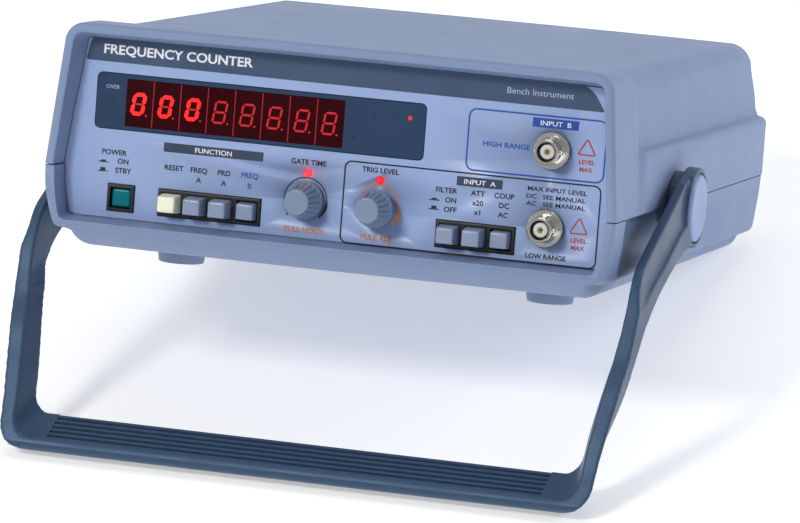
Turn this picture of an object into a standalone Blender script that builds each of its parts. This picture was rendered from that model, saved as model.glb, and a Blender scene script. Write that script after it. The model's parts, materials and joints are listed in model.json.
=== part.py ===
# Bench frequency counter, 8 digits, with two input channels and a tilting
# carrying handle.  Built in the case's own frame (X right, Y from the front
# rim to the rear, Z up from the belly of the case, millimetres) and then
# tilted back about X, standing on the handle's grip and on the rear feet.
import math

import bmesh
import bpy
import numpy as np
from mathutils import Matrix, Vector

# ------------------------------------------------------------------ driving dimensions (mm)
CASE_W = 230.0            # width over the rim at the parting line
CASE_D = 255.5            # front rim to rear edge
HALF_W = CASE_W / 2
PART_Z = 32.0             # height of the parting line over the belly
TOP_FRONT = 88.3          # top of the front block
TOP_REAR = 85.8           # top of the case behind the block
BLOCK_D = 36.0            # depth of the front block before the side pocket
BELT_Z = 56.0             # top of the belt along the sides
WALL = 2.6
LIP_END = 11.4            # depth of the front lip in front of the panel
SILL_Z = 11.0             # sill under the panel
REAR_Y = 247.0            # front face of the rear panel

OVERLAY_Y = 11.0          # front face of the printed overlay
OVERLAY_T = 0.6
PANEL_Y = 11.9
PANEL_T = 2.5

WIN_X0, WIN_X1, WIN_Z0, WIN_Z1 = -98.9, 34.3, 47.3, 68.9
LED_R = 1.5
GATE_LED = (-10.9, 37.9)
TRIG_LED = (18.1, 37.9)
OVFL_LED = (-92.5, 58.5)
KNOB_GATE = (-11.3, 27.5)
KNOB_TRIG = (18.0, 27.5)
KNOB_R = 7.5
KNOB_Y0 = -1.7            # front face of a knob that is pushed in
KNOB_PULL = 4.0           # travel of a pulled knob; the trigger knob stands pulled out
KNOB_Y1 = 10.4            # back face of a knob
BNC_B = (85.3, 56.2)
BNC_A = (85.0, 26.2)
BUTTON_Z = 20.55
FRAME_H = 10.4
PITCH = 10.3
POWER_X = -86.2
FUNC_X = -49.95           # centre of the four function buttons
INPUT_X = 57.4            # centre of the three input buttons
INPUT_Z = 20.0
CAP_W, CAP_H = 8.0, 7.4
BUTTON_OUT = 3.2          # front face of a button that is out
POWER_OUT = 7.7
BUTTON_TRAVEL = 3.5
BUTTON_DRAFT = 0.6        # a button's face is this much smaller on each side
FRAME_Y0, FRAME_Y1 = 10.2, 15.8

HUB_Y, HUB_Z = 93.0, 31.5  # handle axis
HUB_R = 16.0
CAP_R = 13.5
HANDLE_X = 125.2          # outer face of the arms at the hubs
ARM_T = 5.6
GRIP_BOTTOM = -77.5
GRIP_SLOPE = 0.5         # rise of the ribbed finger face towards the rear

FOOT_X, FOOT_Y0, FOOT_Y1 = 76.0, 62.0, 215.0
FOOT_R, FOOT_H = 10.0, 8.0
SCREW_X, SCREW_Y0, SCREW_Y1 = 86.0, 46.0, 232.0

TILT = math.atan2(69.2, 233.4)   # case leans back about X on grip and rear feet

MM = 0.001

# ------------------------------------------------------------------ scene
for ob in list(bpy.data.objects):
    bpy.data.objects.remove(ob, do_unlink=True)

main_col = bpy.data.collections.new("frequency_counter")
cut_col = bpy.data.collections.new("frequency_counter_cutters")
bpy.context.scene.collection.children.link(main_col)
bpy.context.scene.collection.children.link(cut_col)

case_frame = bpy.data.objects.new("case_frame", None)
main_col.objects.link(case_frame)


def material(name, color, rough=0.5, metal=0.0):
    m = bpy.data.materials.get(name) or bpy.data.materials.new(name)
    m.use_nodes = True
    b = m.node_tree.nodes["Principled BSDF"]
    b.inputs["Base Color"].default_value = (*color, 1)
    b.inputs["Roughness"].default_value = rough
    b.inputs["Metallic"].default_value = metal
    return m


CASE = material("case_plastic", (0.30, 0.35, 0.56), 0.5)
PANEL = material("panel_plastic", (0.36, 0.43, 0.62), 0.5)
OVERLAY = material("overlay_film", (0.40, 0.48, 0.72), 0.4)
NAVY = material("window_acrylic", (0.03, 0.05, 0.10), 0.15)
HANDLE = material("handle_plastic", (0.07, 0.11, 0.20), 0.5)
CAPBLUE = material("hub_cap_plastic", (0.25, 0.32, 0.58), 0.45)
BLACK = material("black_plastic", (0.02, 0.02, 0.025), 0.5)
RED = material("led_red", (0.8, 0.02, 0.01), 0.3)
TEAL = material("button_teal", (0.01, 0.16, 0.18), 0.4)
CREAM = material("button_cream", (0.80, 0.80, 0.60), 0.45)
GREY = material("button_grey", (0.24, 0.28, 0.42), 0.45)
KNOB = material("knob_plastic", (0.16, 0.22, 0.32), 0.4)
STEEL = material("steel", (0.60, 0.60, 0.62), 0.35, 1.0)
NICKEL = material("nickel", (0.75, 0.74, 0.70), 0.2, 1.0)
BRASS = material("gold_contact", (0.80, 0.58, 0.25), 0.3, 1.0)
PTFE = material("ptfe", (0.85, 0.85, 0.83), 0.5)
RUBBER = material("rubber", (0.10, 0.11, 0.14), 0.8)
BOARD = material("circuit_board", (0.02, 0.16, 0.07), 0.5)
COPPER = material("copper_winding", (0.55, 0.22, 0.08), 0.4, 0.6)


def link(name, bm, mat, smooth=30.0, col=None):
    me = bpy.data.meshes.new(name)
    bmesh.ops.scale(bm, vec=(MM, MM, MM), verts=bm.verts)
    bmesh.ops.recalc_face_normals(bm, faces=bm.faces)
    bm.to_mesh(me)
    bm.free()
    if smooth:
        me.shade_smooth()
        me.set_sharp_from_angle(angle=math.radians(smooth))
    ob = bpy.data.objects.new(name, me)
    if mat:
        me.materials.append(mat)
    (col or main_col).objects.link(ob)
    return ob


def hide(ob):
    ob.hide_render = True
    ob.display_type = 'WIRE'
    return ob


def boolean(ob, tool, op='DIFFERENCE'):
    m = ob.modifiers.new(op.lower() + "_" + tool.name, 'BOOLEAN')
    m.operation = op
    m.solver = 'EXACT'
    m.object = tool
    return ob


def box_bm(x0, x1, y0, y1, z0, z1, bm=None):
    bm = bm or bmesh.new()
    r = bmesh.ops.create_cube(bm, size=1.0)
    bmesh.ops.scale(bm, vec=(x1 - x0, y1 - y0, z1 - z0), verts=r['verts'])
    bmesh.ops.translate(bm, vec=((x0 + x1) / 2, (y0 + y1) / 2, (z0 + z1) / 2), verts=r['verts'])
    return bm


def box(name, x0, x1, y0, y1, z0, z1, mat, col=None):
    return link(name, box_bm(x0, x1, y0, y1, z0, z1), mat, 0, col)


AXIS = {'x': Matrix.Rotation(math.radians(90), 4, 'Y'),
        'y': Matrix.Rotation(math.radians(90), 4, 'X'),
        'z': Matrix.Identity(4)}


def cyl_bm(r, a0, a1, centre, axis='y', seg=24, r2=None, bm=None):
    """Cylinder or cone frustum along axis from a0 to a1; r2 is the radius at a1."""
    bm = bm or bmesh.new()
    if r2 is None:
        r2 = r
    # create_cone grows along +Z from radius1 to radius2
    got = bmesh.ops.create_cone(bm, cap_ends=True, segments=seg, radius1=r, radius2=r2, depth=a1 - a0)
    vs = got['verts']
    if axis == 'y':      # +Z -> +Y
        bmesh.ops.rotate(bm, verts=vs, matrix=Matrix.Rotation(math.radians(-90), 3, 'X'))
        off = (centre[0], (a0 + a1) / 2, centre[1])
    elif axis == 'x':    # +Z -> +X
        bmesh.ops.rotate(bm, verts=vs, matrix=Matrix.Rotation(math.radians(90), 3, 'Y'))
        off = ((a0 + a1) / 2, centre[0], centre[1])
    else:
        off = (centre[0], centre[1], (a0 + a1) / 2)
    bmesh.ops.translate(bm, vec=off, verts=vs)
    return bm


def cyl(name, r, a0, a1, centre, mat, axis='y', seg=24, r2=None, col=None):
    return link(name, cyl_bm(r, a0, a1, centre, axis, seg, r2), mat, 35, col)


def turned(name, profile, centre, mat, seg=32):
    """Closed profile of (radius, y) turned about an axis along Y through centre (x, z)."""
    bm = bmesh.new()
    rings = []
    for i in range(seg):
        a = 2 * math.pi * i / seg
        rings.append([bm.verts.new((centre[0] + r * math.cos(a), y, centre[1] + r * math.sin(a)))
                      for r, y in profile])
    n = len(profile)
    for i in range(seg):
        a, b = rings[i], rings[(i + 1) % seg]
        for j in range(n):
            k = (j + 1) % n
            if profile[j][0] < 1e-6 and profile[k][0] < 1e-6:
                continue
            try:
                bm.faces.new((a[j], a[k], b[k], b[j]))
            except ValueError:
                pass
    bmesh.ops.remove_doubles(bm, verts=bm.verts, dist=1e-4)
    bmesh.ops.dissolve_degenerate(bm, edges=bm.edges, dist=1e-4)
    return link(name, bm, mat, 35)


def loft(name, rings, mat, smooth=30.0, col=None):
    """Closed body through rings of equal length, each a closed loop of points."""
    bm = bmesh.new()
    vr = [[bm.verts.new(p) for p in ring] for ring in rings]
    n = len(rings[0])
    for a, b in zip(vr, vr[1:]):
        for j in range(n):
            k = (j + 1) % n
            bm.faces.new((a[j], a[k], b[k], b[j]))
    bm.faces.new(list(reversed(vr[0])))
    bm.faces.new(vr[-1])
    return link(name, bm, mat, smooth, col)


def smooth01(t):
    t = min(1.0, max(0.0, t))
    return t * t * (3 - 2 * t)


def mix(a, b, w):
    return a + (b - a) * w


def inset(path, d):
    """Move an open half outline (from the parting line to the middle) inwards."""
    out = []
    for i, (x, z) in enumerate(path):
        dist = d(x, z) if callable(d) else d
        a = path[max(0, i - 1)]
        b = path[min(len(path) - 1, i + 1)]
        tx, tz = b[0] - a[0], b[1] - a[1]
        n = math.hypot(tx, tz) or 1.0
        nx, nz = tz / n, -tx / n
        # the inward side is towards the middle of the case
        if nx * (0 - x) + nz * (45.0 - z) < 0:
            nx, nz = -nx, -nz
        if i == 0:
            nx, nz = -1.0, 0.0
        out.append((x + nx * dist, z + nz * dist))
    return out


# ------------------------------------------------------------------ case outlines
ARC = [math.radians(a) for a in (0, 22.5, 45, 67.5, 90)]


def upper_outline(y):
    """Right half of the upper shell's outer outline, parting line to the middle."""
    w = smooth01((y - BLOCK_D) / 7.0)
    wt = smooth01((y - 16.0) / 26.0)
    z0 = PART_Z + 0.2
    top = mix(TOP_FRONT, TOP_REAR, wt)
    r = mix(8.0, 10.0, w)
    xs = lambda z: HALF_W - 0.098 * (z - PART_Z)
    pts = [(mix(HALF_W, HALF_W + 0.2, w), z0),
           (mix(xs(BELT_Z - 1.5), HALF_W + 0.2, w), BELT_Z - 1.5),
           (mix(xs(BELT_Z), HALF_W - 0.9, w), BELT_Z),
           (mix(xs(BELT_Z + 1.2), 110.6, w), mix(BELT_Z + 1.2, BELT_Z + 1.0, w)),
           (mix(xs(66.0), 109.2, w), 66.0)]
    cx = mix(xs(top - r) - r, 106.9 - r, w)
    for a in ARC:
        pts.append((cx + r * math.cos(a), top - r + r * math.sin(a)))
    pts.append((60.0, top + 0.25))
    pts.append((20.0, top + 0.35))
    return pts


def upper_inner(y, gap=0.0):
    """Right half of the upper shell's inner outline behind the panel."""
    w = smooth01((y - BLOCK_D) / 7.0)
    wt = smooth01((y - 16.0) / 26.0)
    top = mix(TOP_FRONT, TOP_REAR, wt)
    r = mix(8.0, 10.0, w)
    t = WALL + gap
    xs = lambda z: HALF_W - 0.098 * (z - PART_Z)
    pts = [(mix(HALF_W, HALF_W + 0.2, w) - t - 0.1, PART_Z + 0.2),
           (mix(xs(52.8), HALF_W + 0.2, w) - t - 0.1, 52.8 - gap),
           (mix(xs(53.9), HALF_W - 1.0, w) - t - 0.1, 53.9 - gap),
           (mix(xs(54.8), 110.8, w) - t - 0.1, 54.8 - gap),
           (mix(xs(66.0), 109.2, w) - t, 66.0)]
    cx = mix(xs(top - r) - r, 106.9 - r, w)
    for a in ARC:
        pts.append((cx + (r - t) * math.cos(a), top - r + (r - t) * math.sin(a)))
    pts.append((60.0, top + 0.25 - t))
    pts.append((20.0, top + 0.35 - t))
    return pts


SKIRT_Z, SKIRT_Y = 7.6, 19.0   # the raked front of the belly: height under the sill, depth where it ends
RIM_FRONT = [(HALF_W - 0.1, PART_Z - 0.3), (HALF_W - 0.5, 24.0), (112.4, 15.5), (110.7, 10.6), (109.6, 8.7), (108.0, 7.9),
             (104.4, 7.8), (103.4, 7.6), (102.9, 7.6), (102.2, 7.6), (101.0, 7.6), (98.5, 7.6), (20.0, 7.6)]
RIM_REAR = [(HALF_W - 0.1, PART_Z - 0.3), (HALF_W - 0.5, 24.0), (113.6, 15.5), (113.0, 10.6), (112.4, 8.8), (111.0, 7.6),
            (108.3, 6.9), (106.9, 6.0), (106.2, 4.4), (105.3, 2.8), (103.8, 1.2), (101.0, 0.2), (20.0, 0.0)]


def skirt_z(y):
    """Height of the belly's underside: it falls back from under the sill."""
    return SKIRT_Z * (1 - min(1.0, y / SKIRT_Y)) ** 1.25


def lower_outline(y):
    """Right half of the lower shell's outer outline, parting line to the middle."""
    w = smooth01(y / 17.0)
    zb = skirt_z(y)
    rec = 4.6 * smooth01((y - 16.0) / 5.0) * (1 - smooth01((y - 126.0) / 12.0))
    out = []
    for (xa, za), (xb, zc) in zip(RIM_FRONT, RIM_REAR):
        x, z = mix(xa, xb, w), mix(za, zc, w)
        if x > 107.5:
            x -= rec * smooth01((z - 8.0) / 9.0)
        if zc < 6.5:
            z = zb + zc * (SKIRT_Z - zb) / SKIRT_Z
        out.append((x, z))
    return out


def lower_inner(y, gap=0.0):
    """Right half of the lower shell's inner outline behind the panel."""
    rec = 4.6 * smooth01((y - 16.0) / 5.0) * (1 - smooth01((y - 126.0) / 12.0))
    pts = [(HALF_W - 2.7, PART_Z - 0.3), (HALF_W - 3.1, 24.0), (110.4, 16.2), (108.6, 12.4),
           (107.2, 10.8), (105.2, 10.2), (103.4, 9.6), (102.6, 7.6), (102.0, 5.9),
           (100.9, 4.3), (99.0, 3.2), (95.5, 2.7), (20.0, 2.7)]
    floor = max(2.7, skirt_z(y) + 2.5)
    out = []
    for x, z in pts:
        if x > 105.5:
            x -= rec * smooth01((z - 8.0) / 9.0)
        if z < 9.0:
            z = floor + (z - 2.7) * (9.6 - floor) / 6.9
        out.append((x - gap * (1 if x > 90 else 0), z + gap * (1 if z < 14 else 0)))
    return out


def rear_inset(y):
    t = (y - (CASE_D - 4.0)) / 4.0
    return 4.0 * (1 - math.sqrt(max(0.0, 1 - min(1, max(0, t)) ** 2))) if t > 0 else 0.0


def front_inset(y):
    t = (1.4 - y) / 1.4
    return 1.3 * (1 - math.sqrt(max(0.0, 1 - t * t))) if t > 0 else 0.0


def lip_offset(y):
    w = y / LIP_END
    return lambda x, z: 3.7 + w * (0.7 + 1.6 * smooth01((z - 40.0) / 42.0))


def lower_lip(y):
    """Right half of the sill and cheeks in front of the panel."""
    w = y / LIP_END
    dx, dz = -0.5 * w, 1.1 * w
    pts = [(110.7, PART_Z - 0.3), (110.4, 26.0), (109.6, 20.0), (108.6, 15.6), (108.2, 13.4),
           (107.4, 11.8), (105.6, SILL_Z), (98.0, SILL_Z), (90.0, SILL_Z), (75.0, SILL_Z),
           (60.0, SILL_Z), (40.0, SILL_Z), (20.0, SILL_Z)]
    return [(x + (dx if x > 105 else 0), z + (dz if z < 12.5 else 0)) for x, z in pts]


def ring(outer, inner, y):
    left = [(-x, y, z) for x, z in outer]
    right = [(x, y, z) for x, z in reversed(outer)]
    iright = [(x, y, z) for x, z in inner]
    ileft = [(-x, y, z) for x, z in reversed(inner)]
    return left + right + iright + ileft


# ------------------------------------------------------------------ shells
stations = [0.0, 0.45, 1.4, LIP_END]
low_stations = [0.0, 0.45, 1.4, 4.5, 8.0, LIP_END]
rings = []
for y in stations:
    o = inset(upper_outline(y), front_inset(y))
    o[0] = (upper_outline(y)[0][0] - front_inset(y), o[0][1])
    rings.append(ring(o, inset(upper_outline(y), lip_offset(y)), y))
for y in (LIP_END + 0.01, 23.0, 30.0, BLOCK_D, 38.4, 40.8, 43.5):
    rings.append(ring(upper_outline(y), upper_inner(y), y))
for y in (251.5, 253.4, 254.8, CASE_D):
    o = inset(upper_outline(y), rear_inset(y))
    rings.append(ring(o, upper_inner(y, 2.0 if y > 252 else 0.0), y))
upper_shell = loft("upper_shell", rings, CASE, 34)

rings = []
for y in low_stations:
    o = inset(lower_outline(y), front_inset(y))
    rings.append(ring(o, lower_lip(y), y))
for y in (LIP_END + 0.01, 14.0, 16.5, 19.0, 21.5, 126.0, 132.0, 138.0):
    rings.append(ring(lower_outline(y), lower_inner(y), y))
for y in (251.5, 253.4, 254.8, CASE_D):
    o = inset(lower_outline(y), lambda x, z, y=y: rear_inset(y) * (0.6 if x > 100.0 and z < 13.0 else 1.0))
    rings.append(ring(o, lower_inner(y, 2.0 if y > 252 else 0.0), y))
lower_shell = loft("lower_shell", rings, CASE, 34)

# screw posts: a sleeve in the lower shell, a boss in the upper shell
for i, (sx, sy) in enumerate([(-SCREW_X, SCREW_Y0), (SCREW_X, SCREW_Y0),
                              (-SCREW_X, SCREW_Y1), (SCREW_X, SCREW_Y1)]):
    post = hide(cyl("tool_lower_post_%d" % i, 5.0, 1.0, 31.2, (sx, sy), None, 'z', 12, col=cut_col))
    boolean(lower_shell, post, 'UNION')
    bore = hide(cyl("tool_lower_bore_%d" % i, 2.0, -5.0, 40.0, (sx, sy), None, 'z', 8, col=cut_col))
    boolean(lower_shell, bore)
    sink = hide(cyl("tool_lower_sink_%d" % i, 3.8, -5.0, 5.0, (sx, sy), None, 'z', 12, col=cut_col))
    boolean(lower_shell, sink)
    boss = hide(cyl("tool_upper_boss_%d" % i, 4.6, 32.4, 84.6, (sx, sy), None, 'z', 12, col=cut_col))
    boolean(upper_shell, boss, 'UNION')
    pilot = hide(cyl("tool_upper_pilot_%d" % i, 1.9, 28.0, 52.0, (sx, sy), None, 'z', 8, col=cut_col))
    boolean(upper_shell, pilot)
    bm = cyl_bm(1.5, 5.0, 48.0, (sx, sy), 'z', 8)
    screw = link("case_screw_%d" % (i + 1), bm, STEEL, 35)
    head = hide(cyl("tool_screw_head_%d" % i, 3.2, 2.2, 4.7, (sx, sy), None, 'z', 12, col=cut_col))
    neck = hide(cyl("tool_screw_neck_%d" % i, 1.5, 4.5, 5.5, (sx, sy), None, 'z', 8, col=cut_col))
    boolean(screw, neck, 'UNION')
    boolean(screw, head, 'UNION')
    slot = hide(box("tool_screw_slot_%d" % i, sx - 2.2, sx + 2.2, sy - 0.4, sy + 0.4, 1.5, 3.2, None, cut_col))
    boolean(screw, slot)

# bearing holes for the handle pivots, half in each shell
for s, n in ((-1, "left"), (1, "right")):
    hole = hide(cyl("tool_pivot_hole_" + n, 7.3, min(s * 104, s * 120), max(s * 104, s * 120),
                    (HUB_Y, HUB_Z), None, 'x', 24, col=cut_col))
    boolean(upper_shell, hole)
    boolean(lower_shell, hole)

# ------------------------------------------------------------------ front panel and overlay
def panel_outline(up, low, drop=0.0):
    """Closed outline of the panel: inset 'up' from the upper shell's outline, and the
    sill outline moved in by 'low'."""
    u = inset(upper_outline(8.0), up)
    l = [(x - low, z + (low if z < 12.5 else 0) + drop) for x, z in lower_lip(LIP_END)]
    right = [(x, z) for x, z in u[::-1]] + l
    left = [(-x, z) for x, z in reversed(right)]
    return right + left


def plate(name, outline, y0, y1, mat, smooth=30):
    return loft(name, [[(x, y0, z) for x, z in outline], [(x, y1, z) for x, z in outline]], mat, smooth)


front_panel = plate("front_panel", panel_outline(3.1, -0.6), PANEL_Y, PANEL_Y + PANEL_T, PANEL)
overlay_up = lambda x, z: 4.9 + 1.6 * smooth01((z - 40.0) / 42.0)
front_overlay = plate("front_overlay", panel_outline(overlay_up, 0.5), OVERLAY_Y, OVERLAY_Y + OVERLAY_T, OVERLAY)


def both(tool):
    boolean(front_panel, tool)
    boolean(front_overlay, tool)


def rounded_rect(x0, x1, z0, z1, r, k=4):
    pts = []
    for cx, cz, a0 in ((x1 - r, z1 - r, 0), (x0 + r, z1 - r, 90), (x0 + r, z0 + r, 180), (x1 - r, z0 + r, 270)):
        for i in range(k + 1):
            a = math.radians(a0 + 90.0 * i / k)
            pts.append((cx + r * math.cos(a), cz + r * math.sin(a)))
    return pts


both(hide(loft("tool_window", [[(x, y, z) for x, z in rounded_rect(WIN_X0 - .3, WIN_X1 + .3, WIN_Z0 - .3, WIN_Z1 + .3, 2.3, 3)]
                               for y in (5.0, 20.0)], None, 0, cut_col)))
BANKS = {"power": (POWER_X, 1, BUTTON_Z), "function": (FUNC_X, 4, BUTTON_Z), "input": (INPUT_X, 3, INPUT_Z)}
for n, (cx, count, cz) in BANKS.items():
    hw = (PITCH * count + 0.5) / 2
    both(hide(box("tool_opening_" + n, cx - hw - .3, cx + hw + .3, 5, 20, cz - FRAME_H / 2 - .3, cz + FRAME_H / 2 + .3,
                  None, cut_col)))
for n, c in (("gate", KNOB_GATE), ("trig", KNOB_TRIG)):
    both(hide(cyl("tool_shaft_" + n, 4.9, 5, 20, c, None, 'y', 14, col=cut_col)))
for n, c in (("gate", GATE_LED), ("trig", TRIG_LED)):
    both(hide(cyl("tool_led_" + n, LED_R + .3, 5, 20, c, None, 'y', 8, col=cut_col)))
for n, c in (("a", BNC_A), ("b", BNC_B)):
    both(hide(cyl("tool_bnc_" + n, 5.15, 5, 20, c, None, 'y', 14, col=cut_col)))

display_window = loft("display_window",
                      [[(x, y, z) for x, z in rounded_rect(WIN_X0, WIN_X1, WIN_Z0, WIN_Z1, 2.0, 3)]
                       for y in (OVERLAY_Y + 0.2, OVERLAY_Y + 1.7)], NAVY, 30)

# digit modules with their seven-segment faces turned to the window
box("digit_block_left", -86.9, -42.75, 13.1, 19.4, 49.0, 67.2, BLACK)
box("digit_block_right", -42.4, 1.8, 13.1, 19.4, 49.0, 67.2, BLACK)


def led(name, c, y0, y1):
    return turned(name, [(0, y0), (LED_R * 0.55, y0 + 0.25), (LED_R * 0.9, y0 + 0.8), (LED_R, y0 + 1.5), (LED_R, y1 - 1.0),
                         (LED_R + 0.4, y1 - 1.0), (LED_R + 0.4, y1), (0, y1)], c, RED, 8)


led("gate_led", GATE_LED, 10.0, 17.0)
led("trigger_led", TRIG_LED, 10.0, 17.0)
led("overflow_led", OVFL_LED, 13.1, 19.2)
box("unit_led_bar", 3.2, 31.5, 13.1, 19.2, 50.0, 66.0, BLACK)
box("display_board", -101.0, 38.0, 19.7, 21.3, 44.0, 72.0, BOARD)

# ------------------------------------------------------------------ buttons
BUTTONS = [("power_button", POWER_X, BUTTON_Z, TEAL, True),
           ("reset_button", FUNC_X - 1.5 * PITCH, BUTTON_Z, CREAM, False),
           ("freq_a_button", FUNC_X - 0.5 * PITCH, BUTTON_Z, GREY, False),
           ("period_a_button", FUNC_X + 0.5 * PITCH, BUTTON_Z, GREY, False),
           ("freq_b_button", FUNC_X + 1.5 * PITCH, BUTTON_Z, GREY, True),
           ("lowpass_button", INPUT_X - PITCH, INPUT_Z, GREY, False),
           ("attenuator_button", INPUT_X, INPUT_Z, GREY, False),
           ("coupling_button", INPUT_X + PITCH, INPUT_Z, GREY, True)]

for n, (cx, count, cz) in BANKS.items():
    hw = (PITCH * count + 0.5) / 2
    fr = box(n + "_button_frame", cx - hw, cx + hw, FRAME_Y0, FRAME_Y1, cz - FRAME_H / 2, cz + FRAME_H / 2, BLACK)
    for k in range(count):
        bx = cx + (k - (count - 1) / 2) * PITCH
        cutter = hide(box("tool_%s_cell_%d" % (n, k), bx - CAP_W / 2 - .35, bx + CAP_W / 2 + .35, 5, 20,
                          cz - CAP_H / 2 - .35, cz + CAP_H / 2 + .35, None, cut_col))
        boolean(fr, cutter)
    box(n + "_switch_body", cx - hw + 0.4, cx + hw - 0.4, 20.2, 38.0,
        cz - 4.2, cz + 4.2, BLACK)

for name, bx, bz, mat, pressed in BUTTONS:
    power = name == "power_button"
    y0 = (POWER_OUT if power else BUTTON_OUT) + (BUTTON_TRAVEL if pressed else 0)
    y1 = 16.2 + (BUTTON_TRAVEL if pressed else 0)
    hw, hh = CAP_W / 2, CAP_H / 2
    d = 0.3 if power else BUTTON_DRAFT
    rr = [[(x, y0, z) for x, z in rounded_rect(bx - hw + d, bx + hw - d, bz - hh + d, bz + hh - d, 0.5, 1)],
          [(x, y0 + (.5 if power else 7.0), z) for x, z in rounded_rect(bx - hw, bx + hw, bz - hh, bz + hh, 0.6, 1)],
          [(x, y1, z) for x, z in rounded_rect(bx - hw, bx + hw, bz - hh, bz + hh, 0.6, 1)]]
    loft(name, rr, mat, 0)

# ------------------------------------------------------------------ knobs, shafts and potentiometers
for n, c, dy in (("gate", KNOB_GATE, 0.0), ("trigger", KNOB_TRIG, -KNOB_PULL)):
    turned(n + "_knob", [(0, KNOB_Y0 + dy), (4.6, KNOB_Y0 + dy), (5.1, KNOB_Y0 + dy + 0.5), (6.9, KNOB_Y0 + dy + 9.3),
                         (KNOB_R, KNOB_Y0 + dy + 10.1), (KNOB_R, KNOB_Y1 + dy), (3.35, KNOB_Y1 + dy), (3.35, dy + 1.6),
                         (0, dy + 1.6)], c, KNOB, 24)
    turned(n + "_shaft", [(0, dy + 2.0), (3.0, dy + 2.0), (3.0, dy + 21.6), (0, dy + 21.6)], c, STEEL, 10)
    turned(n + "_pot", [(3.4, 12.0), (4.5, 12.0), (4.5, 19.0), (8.2, 19.0), (8.2, 31.0), (2.4, 31.0), (2.4, 24.0),
                        (3.4, 24.0)], c, STEEL, 8)
    turned(n + "_pull_plunger", [(0, dy + 22.0), (2.0, dy + 22.0), (2.0, dy + 35.6), (3.2, dy + 35.6),
                                 (3.2, dy + 37.6), (0, dy + 37.6)], c, STEEL, 8)

# ------------------------------------------------------------------ input connectors
for n, c in (("a", BNC_A), ("b", BNC_B)):
    sh = turned("bnc_%s_shell" % n, [(3.85, 1.4), (4.8, 1.4), (4.8, 2.6), (4.55, 3.0), (4.55, 8.2), (5.4, 8.8), (7.2, 8.8),
                                     (7.2, 10.6), (4.8, 10.6), (4.8, 21.0), (3.1, 21.0), (3.1, 9.0), (3.85, 8.6)],
                c, NICKEL, 18)
    for s in (-1, 1):
        lug = hide(cyl("tool_lug_%s_%d" % (n, s), 0.95, min(s * 4.2, s * 5.6) + c[0], max(s * 4.2, s * 5.6) + c[0],
                       (4.6, c[1]), None, 'x', 10, col=cut_col))
        boolean(sh, lug, 'UNION')
    turned("bnc_%s_insulator" % n, [(1.35, 2.6), (2.8, 2.6), (2.8, 21.0), (1.35, 21.0)], c, PTFE, 12)
    turned("bnc_%s_contact" % n, [(0.5, 3.4), (1.05, 3.4), (1.05, 26.0), (0, 26.0), (0, 8.0), (0.5, 8.0)], c, BRASS, 8)

# ------------------------------------------------------------------ carrying handle
def front_edge():
    pts = []
    for k in range(13):   # round hub end, from the top over the rear to the bottom
        a = math.radians(112 - 227.0 * k / 12)
        pts.append((HUB_Y + HUB_R * math.cos(a), HUB_Z + HUB_R * math.sin(a)))
    rear = [(76.0, 15.2), (65.7, 12.0), (55.9, 8.8), (46.8, 5.1), (37.7, 0.9), (30.5, -3.4), (24.4, -8.2), (19.0, -13.6),
            (13.5, -20.8), (9.2, -29.0), (4.6, -40.0), (-0.9, -54.0), (-4.1, -62.0), (-6.4, -68.0), (-8.2, -74.6),
            (-10.0, -77.2)]
    grip = [(-12.5, GRIP_BOTTOM), (-20.6, GRIP_BOTTOM), (-22.6, -76.2), (-22.9, -74.5)]
    front = [(-17.6, -62.0), (-12.9, -50.0), (-8.6, -40.0), (-4.4, -30.0), (0.8, -20.5), (3.4, -14.0), (5.9, -7.0),
             (8.7, 0.0), (11.0, 5.0), (13.4, 9.5), (17.0, 13.4), (22.0, 16.4), (30.0, 20.2), (43.0, 26.2), (55.0, 31.8),
             (66.0, 37.2), (76.0, 42.2)]
    return pts + rear + grip + front


def arm_x(z):
    return float(np.interp(-z, [-60.0, 0.0, 20.0, 40.0, 57.0, 78.0], [125.2, 125.2, 124.2, 121.8, 119.8, 118.2]))


profile = front_edge()
handle = loft("handle", [[(x, y, z) for y, z in profile] for x in (-130.0, 130.0)], HANDLE, 25)
# outer U seen from the front
outer = []
for z in (56.0, 0.0, -20.0, -30.0, -40.0, -50.0, -57.0, -66.0):
    outer.append((arm_x(z), z))
cxr, rr_ = arm_x(-66.0) - 11.5, 11.5
for a in (15, 30, 45, 60, 75, 90):
    outer.append((cxr + rr_ * math.cos(math.radians(a)), -66.0 - rr_ * math.sin(math.radians(a)) - 0.05))
u_outer = outer + [(-x, z) for x, z in reversed(outer)]


def arm_draft(x, y, z):
    """The lower part of each arm narrows behind its front edge."""
    zf = [-74.5, -62.0, -50.0, -40.0, -30.0, -20.5, 0.0]
    yf = float(np.interp(z, zf, [-22.9, -17.6, -12.9, -8.6, -4.4, 0.8, 8.7]))
    d = 0.3 * smooth01((-z - 28.0) / 36.0) * (max(-24.0, min(24.0, y)) - yf)
    return x - d if x > 0 else x + d


outer_tool = hide(loft("tool_handle_outer", [[(arm_draft(x, y, z), y, z) for x, z in u_outer]
                                             for y in (-60.0, -24.0, -12.0, 0.0, 12.0, 24.0, 130.0)], None, 0, cut_col))
boolean(handle, outer_tool, 'INTERSECT')
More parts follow.
